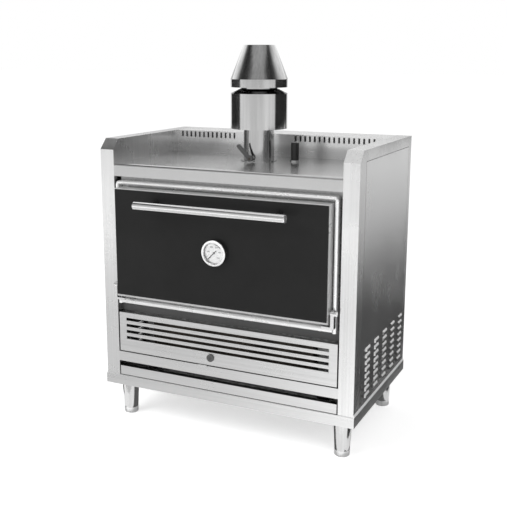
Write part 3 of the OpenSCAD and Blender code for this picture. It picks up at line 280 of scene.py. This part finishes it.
def heat_stained(name, dark, light, rough, metallic=0.6):
    """Plate that has been hot: soot over a brownish steel, and rough mill scale."""
    n = new_material(name)
    patches = n.noise(SOOT_SCALE, 6.0, 0.65)
    scale = n.noise(even(SCALE_GRIT), 4.0, 0.6)
    middle = [(a + b) / 2 for a, b in zip(dark, light)]
    n.finish(Base_Color=n.ramp(patches, (0.32, dark), (0.52, middle), (0.72, light)), Metallic=metallic,
             Roughness=n.remap(scale, *WIDE_SPAN, rough - SCALE_DULL, rough + SCALE_DULL),
             Normal=n.bump(scale, SCALE_DEPTH, 0.6))


SPANGLE_SCALE = 90.0
SPANGLE_SPAN = (0.2, 0.8)


def galvanised(name):
    """Zinc spangle on sheet."""
    n = new_material(name)
    cells = n.add("TexVoronoi", Vector=n.place(even(SPANGLE_SCALE)), Scale=1.0)
    shade = n.add("RGBToBW", Color=cells.outputs["Color"]).outputs[0]
    n.finish(Base_Color=n.tone(n.remap(shade, *SPANGLE_SPAN, 0.38, 0.52)), Metallic=1.0,
             Roughness=n.remap(shade, *SPANGLE_SPAN, 0.35, 0.5))


FIBRE_SCALE = (300.0, 300.0, 900.0)
FIBRE_DEPTH = 0.002


def wool(name):
    """Matted mineral wool: short tangled fibres."""
    n = new_material(name)
    fibres = n.noise(FIBRE_SCALE, 6.0, 0.7)
    n.finish(Base_Color=n.ramp(fibres, (0.3, (0.30, 0.24, 0.12)), (0.7, (0.62, 0.53, 0.33))), Roughness=0.95,
             Normal=n.bump(fibres, FIBRE_DEPTH))


BRAID_SCALE = 180.0
BRAID_DEPTH = 0.001


def woven_tape(name):
    """Braided glass tape of the door's seal."""
    n = new_material(name)
    wave = n.add("TexWave", Vector=n.place(even(1.0)), Scale=BRAID_SCALE, Distortion=1.5)
    wave.bands_direction = "DIAGONAL"
    braid = wave.outputs["Fac"]
    n.finish(Base_Color=n.ramp(braid, (0.2, (0.36, 0.34, 0.31)), (0.8, (0.66, 0.64, 0.60))), Roughness=0.9,
             Normal=n.bump(braid, BRAID_DEPTH))


DUST_SCALE = 60.0


def clear_glass(name):
    """Glass with a little dust on it."""
    n = new_material(name)
    dust = n.noise(even(DUST_SCALE), 4.0)
    n.finish(Base_Color=grey(1.0), Transmission_Weight=1.0, IOR=1.45,
             Roughness=n.remap(dust, 0.4, 0.7, 0.0, 0.04))


# Depths under the rear vent box's top between which its steel turns from plain to darker, as painted shade
VENT_SHADE_END = 34 * MM
VENT_SHADE_FULL = 50 * MM


def vent_face_span():
    """Heights between which the vent box's painted shade fades out, from darker below to plain above."""
    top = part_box("rear_vent_box")[1][2]
    return top - VENT_SHADE_FULL, top - VENT_SHADE_END


def make_materials():
    """One material for each slot of the record, and variants of some."""
    flue = {"spread": 0.10, "smudge": 0.02, "broad": 0.14}
    brushed("brushed_sheet", 0.66, 0.30, "x")
    # The side frames' faces that look sideways are painted darker than their fronts, as shade
    brushed("upright_side_shade", 0.71, 0.28, "z", side_level=0.50)
    # Faces that look to the front or back are painted darker than the worktop's top, as shade
    brushed("worktop_sheet", 0.62, 0.24, "x", spread=0.02, smudge=0.02, grain=0.0, front_level=0.50)
    # The louvre hoods are painted paler and duller where they lean back, as a highlight
    brushed("side_sheet", 0.50, 0.22, "z", spread=0.03, lean_highlight=(0.22, 0.48))
    brushed("polished_steel", 0.78, 0.14, "x", spread=0.03, smudge=0.03)
    brushed("handle_steel", 0.80, 0.16, "x", spread=0.04, smudge=0.03, side_metallic=0.8)
    # A partly dull copy of the stainless, which paints light on the door border's sides
    brushed("border_painted_light", 0.58, 0.34, "x", spread=0.03, metallic=0.5)
    # A paler, partly dull copy of the stainless for the front frame and sill: painted light
    brushed("frame_painted_light", 0.92, 0.26, "x", spread=0.03, metallic=0.6)
    # Vent box: a paler copy of the sheet as painted light, darker towards its foot as painted shade
    brushed("vent_painted_shade", 0.86, 0.27, "x", spread=0.03, metallic=0.95,
            foot_level=(0.62, *vent_face_span()))
    brushed("flue_steel", 0.52, 0.13, "z", **flue)
    # The drum's top is painted almost black, as shade
    brushed("drum_top_shade", 0.52, 0.13, "z", top_level=0.03, **flue)
    brushed("leg_steel", 0.58, 0.14, "z", spread=0.08, smudge=0.02)
    # A paler, partly dull copy of the stainless for the feet: painted light
    brushed("foot_painted_light", 0.85, 0.30, "z", spread=0.04, metallic=0.5)
    # The lower rail's top faces are painted darker, as shade
    brushed("rail_top_shade", 0.66, 0.30, "x", top_level=0.24)
    # Base frame: sideways faces painted darker as shade, faces that lean up paler as a highlight
    brushed("tray_shade_and_highlight", 0.66, 0.30, "x", side_level=0.24, lean_highlight=(0.03, 0.16))
    # A pale, mostly dull copy of the sheet that paints light on the air register in its dark gap
    brushed("duct_painted_light", 0.80, 0.40, "x", spread=0.04, metallic=0.3)
    # A pale, mostly dull copy of the steel that paints a bright line along the weld beads
    brushed("bead_painted_highlight", 0.85, 0.45, "y", spread=0.08, metallic=0.2)
    brushed("grill_steel", 0.50, 0.32, "y")
    brushed("dial_face", 0.72, 0.35, "x", spread=0.03)
    painted("black_enamel", 0.011, 0.014, 0.42, specular=0.18)
    painted("black_handle", 0.010, 0.014, 0.35)
    painted("dark_steel", 0.07, 0.09, 0.4)
    painted("needle_black", 0.015, 0.02, 0.4)
    # Near black for the strips and plates behind the shadow gaps: painted shade
    painted("gap_shade_black", 0.004, 0.008, 0.7, specular=0.1)
    heat_stained("firebox_plate", (0.02, 0.018, 0.016), (0.13, 0.11, 0.09), 0.55)
    heat_stained("cast_grate", (0.02, 0.02, 0.02), (0.08, 0.075, 0.07), 0.7, 0.4)
    galvanised("galvanised")
    wool("mineral_wool")
    woven_tape("rope_seal")
    clear_glass("dial_glass")


# Nodes whose finish is a variant of their slot's, several of them painted lighter or darker as light and
# shade
VARIANTS = {
    "side_frame_left": "upright_side_shade",
    "side_frame_right": "upright_side_shade",
    "rear_vent_box": "vent_painted_shade",
    "door_shell": "border_painted_light",
    "front_frame": "frame_painted_light",
    "sill": "frame_painted_light",
    "handle_posts": "black_enamel",
    "handle_bar": "handle_steel",
    "lock_housing": "dark_steel",
    "damper_lever": "dark_steel",
    "knob_collar": "worktop_sheet",
    "firebreak_drum": "drum_top_shade",
    "drawer_runners": "dark_steel",
    "base_frame": "tray_shade_and_highlight",
    "air_register": "duct_painted_light",
    "legs": "leg_steel",
    "foot_front_left": "foot_painted_light",
    "foot_front_right": "foot_painted_light",
    "foot_rear_left": "foot_painted_light",
    "foot_rear_right": "foot_painted_light",
}


def dress_frame():
    """Gives each CAD node the material of its slot in the record, or its variant."""
    for part in frame["record"]["subparts"]:
        name = VARIANTS.get(part["node"], part["material_slot"])
        data = NODES[part["node"]].data
        data.materials.clear()
        data.materials.append(MATERIALS[name])


EDGE_WIDTH = 0.6 * MM
EDGE_STEPS = 2
EDGE_ANGLE = 35.0
EDGED = ("side_frame_left", "side_frame_right", "front_frame", "door_shell", "door_front_plate",
         "drawer_front", "middle_rail", "base_frame", "sill", "worktop", "rear_vent_box", "legs",
         "lock_housing", "handle_bar", "damper_knob", "knob_collar")


def round_edges():
    """Rounds the folded and cut edges of the main pieces, so that they catch the light."""
    for node in EDGED:
        edge = NODES[node].modifiers.new("edge", "BEVEL")
        edge.width = EDGE_WIDTH
        edge.segments = EDGE_STEPS
        edge.limit_method = "ANGLE"
        edge.angle_limit = math.radians(EDGE_ANGLE)


def add_piece(name, mesh, finish, slot, body, *nodes):
    """Adds a piece made in the oven's own frame, riding on a body and in place of the CAD nodes named."""
    mesh.materials.clear()
    mesh.materials.append(MATERIALS[finish])
    piece = bpy.data.objects.new(name, mesh)
    bpy.context.scene.collection.objects.link(piece)
    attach(piece, body)
    if nodes:
        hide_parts(*nodes)


def mesh_of(shape, name):
    """Turns a bmesh into a mesh whose faces look outward."""
    bmesh.ops.recalc_face_normals(shape, faces=shape.faces)
    mesh = bpy.data.meshes.new(name)
    shape.to_mesh(mesh)
    shape.free()
    return mesh


def smooth(mesh, angle=30.0):
    """Shades a mesh smooth, apart from the edges that turn more sharply than an angle."""
    mesh.polygons.foreach_set("use_smooth", [True] * len(mesh.polygons))
    mesh.set_sharp_from_angle(angle=math.radians(angle))


# Sides of a cell of add_plate, each as the step to its neighbour and the side's two ends
CELL_SIDES = ((-1, 0, ((0, 0), (0, 1))), (1, 0, ((1, 0), (1, 1))),
              (0, -1, ((0, 0), (1, 0))), (0, 1, ((0, 1), (1, 1))))


def add_plate(shape, x_span, y_span, z_span, holes=()):
    """A flat plate across X, with a set of rectangular holes ((y0, y1), (z0, z1))."""
    ys = sorted({v for y, z in holes for v in y} | set(y_span))
    zs = sorted({v for y, z in holes for v in z} | set(z_span))
    known = {}

    def corner(x, y, z):
        if (x, y, z) not in known:
            known[x, y, z] = shape.verts.new((x, y, z))
        return known[x, y, z]

    def is_open(i, j):
        if not (0 <= i < len(ys) - 1 and 0 <= j < len(zs) - 1):
            return True
        y, z = (ys[i] + ys[i + 1]) / 2, (zs[j] + zs[j + 1]) / 2
        return any(a[0] < y < a[1] and b[0] < z < b[1] for a, b in holes)

    for i in range(len(ys) - 1):
        for j in range(len(zs) - 1):
            if is_open(i, j):
                continue
            y, z = (ys[i], ys[i + 1]), (zs[j], zs[j + 1])
            for x in x_span:
                shape.faces.new([corner(x, y[a], z[b]) for a, b in ((0, 0), (1, 0), (1, 1), (0, 1))])
            for step_y, step_z, (a, b) in CELL_SIDES:
                if is_open(i + step_y, j + step_z):
                    ends = ((x_span[0], a), (x_span[0], b), (x_span[1], b), (x_span[1], a))
                    shape.faces.new([corner(x, y[end[0]], z[end[1]]) for x, end in ends])


# The side panels: their sheet, the dark gap round them, what the side frame laps over, and the width of
# the near-black strip behind the gap, which paints its shade
SHEET = 1.5 * MM
PANEL_GAP = 1.6 * MM
PANEL_LAP = 7 * MM
PANEL_RIM = 12 * MM

# Their louvres: the pitch along Y and Z, the first row's height, and the hoods
LOUVRE_COLS, LOUVRE_ROWS = 5, 8
LOUVRE_PITCH = (94.5 * MM, 22.5 * MM)
LOUVRE_SHIFT = 15 * MM
LOUVRE_RISE = 33 * MM
HOOD_LEN = 46 * MM
HOOD_H = 12 * MM
HOOD_OUT = 5 * MM
HOOD_WALL = 1 * MM
HOOD_STEPS = 8

# How far the hole behind a hood stays above the hood's foot
HOOD_LAP = 2.5 * MM


def hood_rows(wall):
    """Rows of points (y, x, z) from a hood's top to its foot, drawn in by wall: a bow with sloping ends."""
    bow = (HOOD_H ** 2 + HOOD_OUT ** 2) / (2 * HOOD_OUT)
    rows = []
    for i in range(HOOD_STEPS + 1):
        z = HOOD_H / 2 - HOOD_H * i / HOOD_STEPS
        drop = max(0.0, (bow - wall) ** 2 - (z + HOOD_H / 2) ** 2)
        x = max(0.0, HOOD_OUT - bow + math.sqrt(drop))
        end = HOOD_LEN / 2 - 1.5 * wall
        rows.append([(-end, 0.0, z), (x - end, x, z), (end - x, x, z), (end, 0.0, z)])
    return rows


def add_hood(shape, x, y, z, side):
    """A hooded louvre on the panel's face, with an outer and an inner skin and its mouth looking down."""
    feet = []
    for wall in (0.0, HOOD_WALL):
        rows = [[shape.verts.new((side * (x + out), y + along_y, z + up)) for along_y, out, up in row]
                for row in hood_rows(wall)]
        for upper, lower in zip(rows, rows[1:]):
            for k in range(3):
                shape.faces.new([upper[k], upper[k + 1], lower[k + 1], lower[k]])
        feet.append(rows[-1])
    outer, inner = feet
    for k in range(3):
        shape.faces.new([outer[k], outer[k + 1], inner[k + 1], inner[k]])


def louvre_centres(low, high):
    """Places (y, z) of a panel's louvres, from the panel's box."""
    pitch_y, pitch_z = LOUVRE_PITCH
    first_y = (low[1] + high[1]) / 2 - (LOUVRE_COLS - 1) * pitch_y / 2 + LOUVRE_SHIFT
    return [(first_y + c * pitch_y, low[2] + LOUVRE_RISE + r * pitch_z)
            for c in range(LOUVRE_COLS) for r in range(LOUVRE_ROWS)]


def panel_skin(name, low, high, face, side):
    """The panel's sheet with its louvres."""
    inset = PANEL_LAP + PANEL_GAP
    half = HOOD_LEN / 2 - 2 * HOOD_WALL
    centres = louvre_centres(low, high)
    holes = [((y - half, y + half), (z - HOOD_H / 2 + HOOD_LAP, z + HOOD_H / 2 - HOOD_WALL))
             for y, z in centres]
    shape = bmesh.new()
    add_plate(shape, (side * face, side * (face - SHEET)),
              (low[1] + inset, high[1] - inset), (low[2], high[2] - inset), holes)
    for y, z in centres:
        add_hood(shape, face, y, z, side)
    mesh = mesh_of(shape, name)
    smooth(mesh)
    return mesh


def panel_seam(name, low, high, face, side):
    """A near-black frame behind the panel's edges, which its gap shows: painted shade."""
    rim = PANEL_LAP + PANEL_RIM
    window = ((low[1] + rim, high[1] - rim), (low[2], high[2] - rim))
    shape = bmesh.new()
    add_plate(shape, (side * (face - SHEET), side * (face - 2 * SHEET)),
              (low[1], high[1]), (low[2], high[2]), [window])
    return mesh_of(shape, name)


def add_side_panels():
    """Side panels with short hooded louvres, and a shadow gap along their edges painted dark by a frame
    behind.
    """
    for node, side in (("side_panel_left", -1), ("side_panel_right", 1)):
        low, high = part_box(node)
        face = max(abs(low[0]), abs(high[0])) - HOOD_OUT
        skin, seam = node + "_skin", node + "_seam"
        add_piece(skin, panel_skin(skin, low, high, face, side), "side_sheet", "side_sheet", "root", node)
        add_piece(seam, panel_seam(seam, low, high, face, side), "gap_shade_black", "dark_steel", "root")


# The weld bead: its height, the flats of its quarter round, and the sharpest turn shaded smooth
BEAD_H = 8 * MM
BEAD_STEPS = 4
BEAD_ANGLE = 40.0


def add_base_beads():
    """Weld bead along each side's foot, between the cabinet and the base frame's ledge."""
    ledge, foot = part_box("base_frame")[1][0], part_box("base_frame")[1][2]
    post_low, post_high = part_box("side_frame_right")
    face = post_high[0]
    turns = [math.radians(90 * i / BEAD_STEPS) for i in range(BEAD_STEPS + 1)]
    profile = [(face, foot)] + [(face + (ledge - face) * math.cos(turn), foot + BEAD_H * math.sin(turn))
                                for turn in turns]
    for name, side in (("base_bead_left", -1), ("base_bead_right", 1)):
        shape = bmesh.new()
        rings = [[shape.verts.new((side * x, y, z)) for x, z in profile]
                 for y in (post_low[1], post_high[1])]
        near, far = rings
        for k in range(len(profile)):
            after = (k + 1) % len(profile)
            shape.faces.new([near[k], near[after], far[after], far[k]])
        for ring in rings:
            shape.faces.new(ring)
        mesh = mesh_of(shape, name)
        smooth(mesh, BEAD_ANGLE)
        add_piece(name, mesh, "bead_painted_highlight", "brushed_sheet", "root")


# The lower rail: the gap under it in the solids, what it is lifted by, the gap at each end, and how far
# the near-black plates behind these gaps, which paint their shade, are set back
PLINTH_SEAM = 2 * MM
PLINTH_LIFT = 1.4 * MM
PLINTH_END_GAP = 4 * MM
PLINTH_SETBACK = 3 * MM


def add_plinth():
    """The lower rail set off by shadow gaps from the base frame and corner posts, painted dark inside as
    shade.
    """
    low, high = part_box("plinth_rail")
    mesh = NODES["plinth_rail"].data.copy()
    mesh.transform(NODES["plinth_rail"].matrix_world)
    for vertex in mesh.vertices:
        if vertex.co.z < low[2] + MM:
            vertex.co.z += PLINTH_LIFT
        if abs(vertex.co.x) > high[0] - MM:
            vertex.co.x -= math.copysign(PLINTH_END_GAP, vertex.co.x)
    add_piece("plinth_skin", mesh, "rail_top_shade", "brushed_sheet", "root", "plinth_rail")
    foot = low[2] + PLINTH_LIFT
    depth = (low[1] + PLINTH_SETBACK, high[1])
    shape = bmesh.new()
    add_plate(shape, (low[0], high[0]), depth, (low[2] - PLINTH_SEAM, foot))
    for side in (-1, 1):
        add_plate(shape, (side * high[0], side * (high[0] - PLINTH_END_GAP)), depth, (foot, high[2]))
    add_piece("plinth_gap_shade", mesh_of(shape, "plinth_gap_shade"), "gap_shade_black", "dark_steel", "root")


# The thermometer at the width that the photograph shows, as a share of the solids'
DIAL_SHARE = 0.895
DIAL_PIECES = (("thermometer_case", "polished_steel", "door"),
               ("thermometer_bezel", "polished_steel", "door"),
               ("thermometer_dial", "dial_face", "door"),
               ("thermometer_glass", "dial_glass", "door"),
               ("thermometer_needle", "needle_black", "needle"))


def add_small_dial():
    """The thermometer's pieces, drawn in about its own axis."""
    low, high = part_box("thermometer_dial")
    centre = Vector(((low[0] + high[0]) / 2, 0.0, (low[2] + high[2]) / 2))
    drawn_in = (Matrix.Translation(centre) @ Matrix.Diagonal((DIAL_SHARE, 1.0, DIAL_SHARE, 1.0))
                @ Matrix.Translation(-centre))
    for node, slot, body in DIAL_PIECES:
        mesh = NODES[node].data.copy()
        mesh.transform(drawn_in @ NODES[node].matrix_world)
        add_piece(node + "_small", mesh, slot, slot, body, node)


# The dial's print: the scale's first turn, its sweep and its marks
SCALE_START = 225.0
SCALE_SWEEP = 270.0
SCALE_TOP = 500
SCALE_STEP = 10
NUMBER_STEP = 100
PRINT_DEPTH = 0.1 * MM

# Its marks as shares of the dial's radius, and their half widths
TICK_OUTER = 0.93
MAJOR_INNER, MAJOR_HALF = 0.80, 0.6 * MM
MINOR_INNER, MINOR_HALF = 0.86, 0.3 * MM
NUMBER_RING = 0.56
NUMBER_SIZE = 0.19

# Its zone: the marks that it runs between, the step of its patches, and its rings
ZONE = (250, 350)
ZONE_STEP = 5
ZONE_INNER, ZONE_MIDDLE, ZONE_OUTER = 0.70, 0.72, 0.76


def scale_turn(mark):
    """The turn of a mark of the scale, in degrees from the dial's right."""
    return SCALE_START - SCALE_SWEEP * mark / SCALE_TOP


def number_mesh(mark, size):
    """The mesh of a number, centred on the origin."""
    writing = bpy.data.curves.new("number", "FONT")
    writing.body = str(mark)
    writing.size = size
    writing.align_x = writing.align_y = "CENTER"
    holder = bpy.data.objects.new("number", writing)
    bpy.context.scene.collection.objects.link(holder)
    bpy.context.view_layer.update()
    letters = bpy.data.meshes.new_from_object(holder.evaluated_get(bpy.context.evaluated_depsgraph_get()))
    bpy.data.objects.remove(holder)
    bpy.data.curves.remove(writing)
    return letters


def add_dial_print():
    """Ticks, a zone and plain numbers printed on the thermometer's dial, as one raised mesh."""
    low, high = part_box("thermometer_dial")
    centre = Vector(((low[0] + high[0]) / 2, high[1] - MM, (low[2] + high[2]) / 2))
    radius = (high[0] - low[0]) / 2 * DIAL_SHARE
    shape = bmesh.new()

    def put(inner, outer, half, turn):
        """One printed patch between two radii, with a half width, along a ray of the dial."""
        spin = Matrix.Rotation(math.radians(turn), 4, "Z")
        corners = ((inner, -half), (outer, -half), (outer, half), (inner, half))
        shape.faces.new([shape.verts.new(spin @ Vector((x, y, PRINT_DEPTH))) for x, y in corners])

    for mark in range(0, SCALE_TOP + 1, SCALE_STEP):
        major = mark % NUMBER_STEP == 0
        inner, half = (MAJOR_INNER, MAJOR_HALF) if major else (MINOR_INNER, MINOR_HALF)
        put(radius * inner, radius * TICK_OUTER, half, scale_turn(mark))
    zone_half = radius * ZONE_MIDDLE * math.tan(math.radians(SCALE_SWEEP * ZONE_STEP / 2 / SCALE_TOP))
    for mark in range(*ZONE, ZONE_STEP):
        put(radius * ZONE_INNER, radius * ZONE_OUTER, zone_half, scale_turn(mark + ZONE_STEP / 2))
    for mark in range(0, SCALE_TOP + 1, NUMBER_STEP):
        turn, ring = math.radians(scale_turn(mark)), radius * NUMBER_RING
        letters = number_mesh(mark, radius * NUMBER_SIZE)
        letters.transform(Matrix.Translation((math.cos(turn) * ring, math.sin(turn) * ring, PRINT_DEPTH)))
        shape.from_mesh(letters)
        bpy.data.meshes.remove(letters)
    shape.transform(Matrix.Translation(centre) @ Matrix.Rotation(math.radians(90), 4, "X"))
    mesh = bpy.data.meshes.new("dial_print")
    shape.to_mesh(mesh)
    shape.free()
    add_piece("dial_print", mesh, "needle_black", "needle_black", "door")


FLOOR_REACH = 60.0
FLOOR_TONE = 0.9
FLOOR_GLOW = 0.5


def sees_background(n):
    """1 for rays from the camera, and for those seen in metal and glass."""
    path = n.add("LightPath")
    first = n.math("MAXIMUM", path.outputs["Is Camera Ray"], path.outputs["Is Glossy Ray"])
    return n.math("MAXIMUM", first, path.outputs["Is Transmission Ray"])


def add_floor():
    """Pale floor that shows white where nothing shades it and keeps the oven's shadow."""
    n = new_material("floor")
    diffuse = n.add("BsdfDiffuse", Color=grey(FLOOR_TONE))
    glow = n.add("Emission", Color=grey(1.0), Strength=n.math("MULTIPLY", sees_background(n), FLOOR_GLOW))
    both = n.add("AddShader")
    n.put(both, 0, diffuse.outputs[0])
    n.put(both, 1, glow.outputs[0])
    n.put(n.add("OutputMaterial"), "Surface", both.outputs[0])
    mesh = bpy.data.meshes.new("floor")
    corners = [(x * FLOOR_REACH, y * FLOOR_REACH, 0.0) for x, y in ((-1, -1), (1, -1), (1, 1), (-1, 1))]
    mesh.from_pydata(corners, [], [(0, 1, 2, 3)])
    mesh.materials.append(MATERIALS["floor"])
    floor = bpy.data.objects.new("floor", mesh)
    bpy.context.scene.collection.objects.link(floor)


# The world's plain level, and its tones in metal by the height of the direction
WORLD_LEVEL = 0.6
WALL_TONES = ((0.0, 0.45), (0.05, 0.75), (0.25, 0.75), (0.42, 0.45), (0.55, 0.36), (0.70, 0.50),
              (0.84, 0.85), (1.0, 0.95))


def add_world():
    """White to the camera; to metal, grey walls and a brighter ceiling; to the rest, a plain level."""
    world = bpy.data.worlds.new("studio")
    world.use_nodes = True
    bpy.context.scene.world = world
    n = Nodes(world.node_tree)
    walls = n.ramp(n.axes("Generated")["Z"], *WALL_TONES)
    path = n.add("LightPath").outputs
    level = n.mix(path["Is Glossy Ray"], grey(WORLD_LEVEL), walls)
    seen = n.mix(path["Is Camera Ray"], level, grey(1.0))
    sky = n.add("Background", Color=seen, Strength=1.0)
    n.put(n.add("OutputWorld"), "Surface", sky.outputs[0])


# The soft lamps: name, place, side and watts. Both look at the oven's middle
LAMPS = (("key", (-2.2, -3.2, 3.4), 2.4, 95.0),
         ("fill", (2.6, -2.2, 2.6), 2.0, 30.0))
LAMP_AIM = (0.0, 0.0, 0.6)


def add_lamps():
    """Soft lamps that metal doesn't mirror: the cards and the floor shape the reflections."""
    for name, place, size, watts in LAMPS:
        lamp = bpy.data.lights.new(name, "AREA")
        lamp.shape = "RECTANGLE"
        lamp.size = lamp.size_y = size
        lamp.energy = watts
        holder = bpy.data.objects.new(name, lamp)
        holder.location = place
        holder.rotation_euler = (Vector(LAMP_AIM) - Vector(place)).to_track_quat("-Z", "Y").to_euler()
        holder.visible_glossy = False
        bpy.context.scene.collection.objects.link(holder)


def light_card(name, grade, strength, stops, source="Generated"):
    """The material of a card: light graded from one edge to the other, along its own X, Y or Z."""
    n = new_material(name)
    shade = n.add("Emission", Color=n.ramp(n.axes(source)[grade], *stops), Strength=strength)
    n.put(n.add("OutputMaterial"), "Surface", shade.outputs[0])


def place_card(name, corners, faces, shares=None):
    """Adds a card that only metal sees. shares gives each corner's share of the way along a bent card."""
    mesh = bpy.data.meshes.new(name)
    mesh.from_pydata(corners, [], faces)
    if shares:
        layer = mesh.uv_layers.new(name="way")
        for loop in mesh.loops:
            layer.data[loop.index].uv = (shares[loop.vertex_index], 0.0)
    mesh.materials.append(MATERIALS[name])
    card = bpy.data.objects.new(name, mesh)
    card.visible_camera = False
    card.visible_diffuse = False
    card.visible_shadow = False
    card.visible_transmission = False
    bpy.context.scene.collection.objects.link(card)


CARD_LIFT = 3 * MM


def add_floor_card(name, x_span, y_span, *stops, strength=1.0):
    """A card that lies on the floor, graded from left to right."""
    (x0, x1), (y0, y1) = x_span, y_span
    corners = [(x0, y0, CARD_LIFT), (x1, y0, CARD_LIFT), (x1, y1, CARD_LIFT), (x0, y1, CARD_LIFT)]
    light_card(name, "X", strength, stops)
    place_card(name, corners, [(0, 1, 2, 3)])


def add_side_card(name, x, y_span, z_span, *stops):
    """A card that stands beside the oven, graded from its foot to its top."""
    (y0, y1), (z0, z1) = y_span, z_span
    corners = [(x, y0, z0), (x, y1, z0), (x, y1, z1), (x, y0, z1)]
    light_card(name, "Z", 1.0, stops)
    place_card(name, corners, [(0, 1, 2, 3)])


FLUE_AXIS_Y = 0.055
FLAG_TONE = 0.03
FLAG_STEPS = 24


def add_flag(name, turns, distance, z_span, stops=None, strength=1.0):
    """A flag or card bent round the flue's axis, between two compass turns from +X in degrees.

    stops are its tones by compass turn, and a card without them is as dark as FLAG_TONE.
    """
    start, end = turns
    corners, shares = [], []
    for i in range(FLAG_STEPS + 1):
        turn = math.radians(start + (end - start) * i / FLAG_STEPS)
        x, y = math.cos(turn) * distance, FLUE_AXIS_Y + math.sin(turn) * distance
        corners += [(x, y, z) for z in z_span]
        shares += [i / FLAG_STEPS] * 2
    faces = [(2 * i, 2 * i + 2, 2 * i + 3, 2 * i + 1) for i in range(FLAG_STEPS)]
    tones = [((turn - start) / (end - start), tone)
             for turn, tone in stops or ((start, FLAG_TONE), (end, FLAG_TONE))]
    light_card(name, "X", strength, tones, "UV")
    place_card(name, corners, faces, shares)


# Compass turn of the camera from the flue, and where the flags and cards round the flue stand
CAMERA_COMPASS = -64.5
DRUM_FLAG_AWAY, DRUM_FLAG_Z = 3.0, (0.62, 1.22)
HAT_CARD_AWAY, HAT_CARD_Z, HAT_CARD_STRENGTH = 1.05, (1.42, 2.1), 1.5


def add_flue_cards():
    """Flags and cards that draw the dark bands at both sides of the flue's drum, rim and hat."""
    for name, start, end in (("drum_flag_right", 65, 143), ("drum_flag_left", -145, -82)):
        add_flag(name, (CAMERA_COMPASS + start, CAMERA_COMPASS + end), DRUM_FLAG_AWAY, DRUM_FLAG_Z)
    add_flag("hat_card_right", (-44.0, 112.0), HAT_CARD_AWAY, HAT_CARD_Z, (
        (-44.0, 0.20), (-28.0, 0.05), (-8.0, 0.02), (8.0, 0.08), (24.0, 0.45), (45.0, 0.75),
        (80.0, 1.0)), HAT_CARD_STRENGTH)
    add_flag("hat_card_left", (-242.0, -100.0), HAT_CARD_AWAY, HAT_CARD_Z, (
        (-205.0, 1.0), (-180.0, 0.75), (-168.0, 0.35), (-158.0, 0.07), (-140.0, 0.02), (-120.0, 0.05),
        (-100.0, 0.20)), HAT_CARD_STRENGTH)


# Reach of the cards beside the oven, along Y and Z
BESIDE_Y = (0.0, 1.60)
BESIDE_Z = (0.0, 0.95)
BESIDE_FLOOR_Y = (-0.20, 1.60)
BESIDE_AWAY = 0.67


def add_side_cards():
    """Cards that the sides mirror: dark low down, light at the top, and dark on the floor, the right one as
    a painted shadow of the oven.
    """
    add_side_card("side_card", BESIDE_AWAY, BESIDE_Y, BESIDE_Z, (0.0, 0.10), (0.30, 0.115), (0.40, 0.20),
                  (0.50, 0.37), (0.58, 0.53), (0.68, 0.72), (0.90, 0.98))
    add_floor_card("right_floor_card", (0.54, 1.25), BESIDE_FLOOR_Y, (0.0, 0.07), (1.0, 0.07))
    # The left ones are lighter, and the photograph's own view doesn't show what they do
    add_side_card("left_side_card", -BESIDE_AWAY, BESIDE_Y, BESIDE_Z, (0.0, 0.16), (0.30, 0.20),
                  (0.45, 0.38), (0.60, 0.66), (0.90, 0.95))
    add_floor_card("left_floor_card", (-1.25, -0.57), BESIDE_FLOOR_Y, (0.0, 0.15), (1.0, 0.15))


def add_studio():
    add_floor()
    add_world()
    add_lamps()
    add_flue_cards()
    add_side_cards()
    # Cards on the floor: one shades the left of the front, one is a painted shade that lies under the oven
    add_floor_card("front_floor_card", (-2.20, 0.60), (-2.60, -0.34), (0.0, 0.58), (0.36, 0.58),
                   (0.56, 0.55), (0.71, 0.62), (0.79, 0.74), (0.86, 0.87), (0.93, 0.97), (1.0, 1.0),
                   strength=1.42)
    add_floor_card("under_card", (-0.46, 0.46), (-0.21, 0.31), (0.0, 0.15), (1.0, 0.15))


add_camera()
make_materials()
dress_frame()
round_edges()
add_side_panels()
add_base_beads()
add_plinth()
add_small_dial()
add_dial_print()
add_studio()

bpy.context.scene.view_settings.view_transform = "Standard"
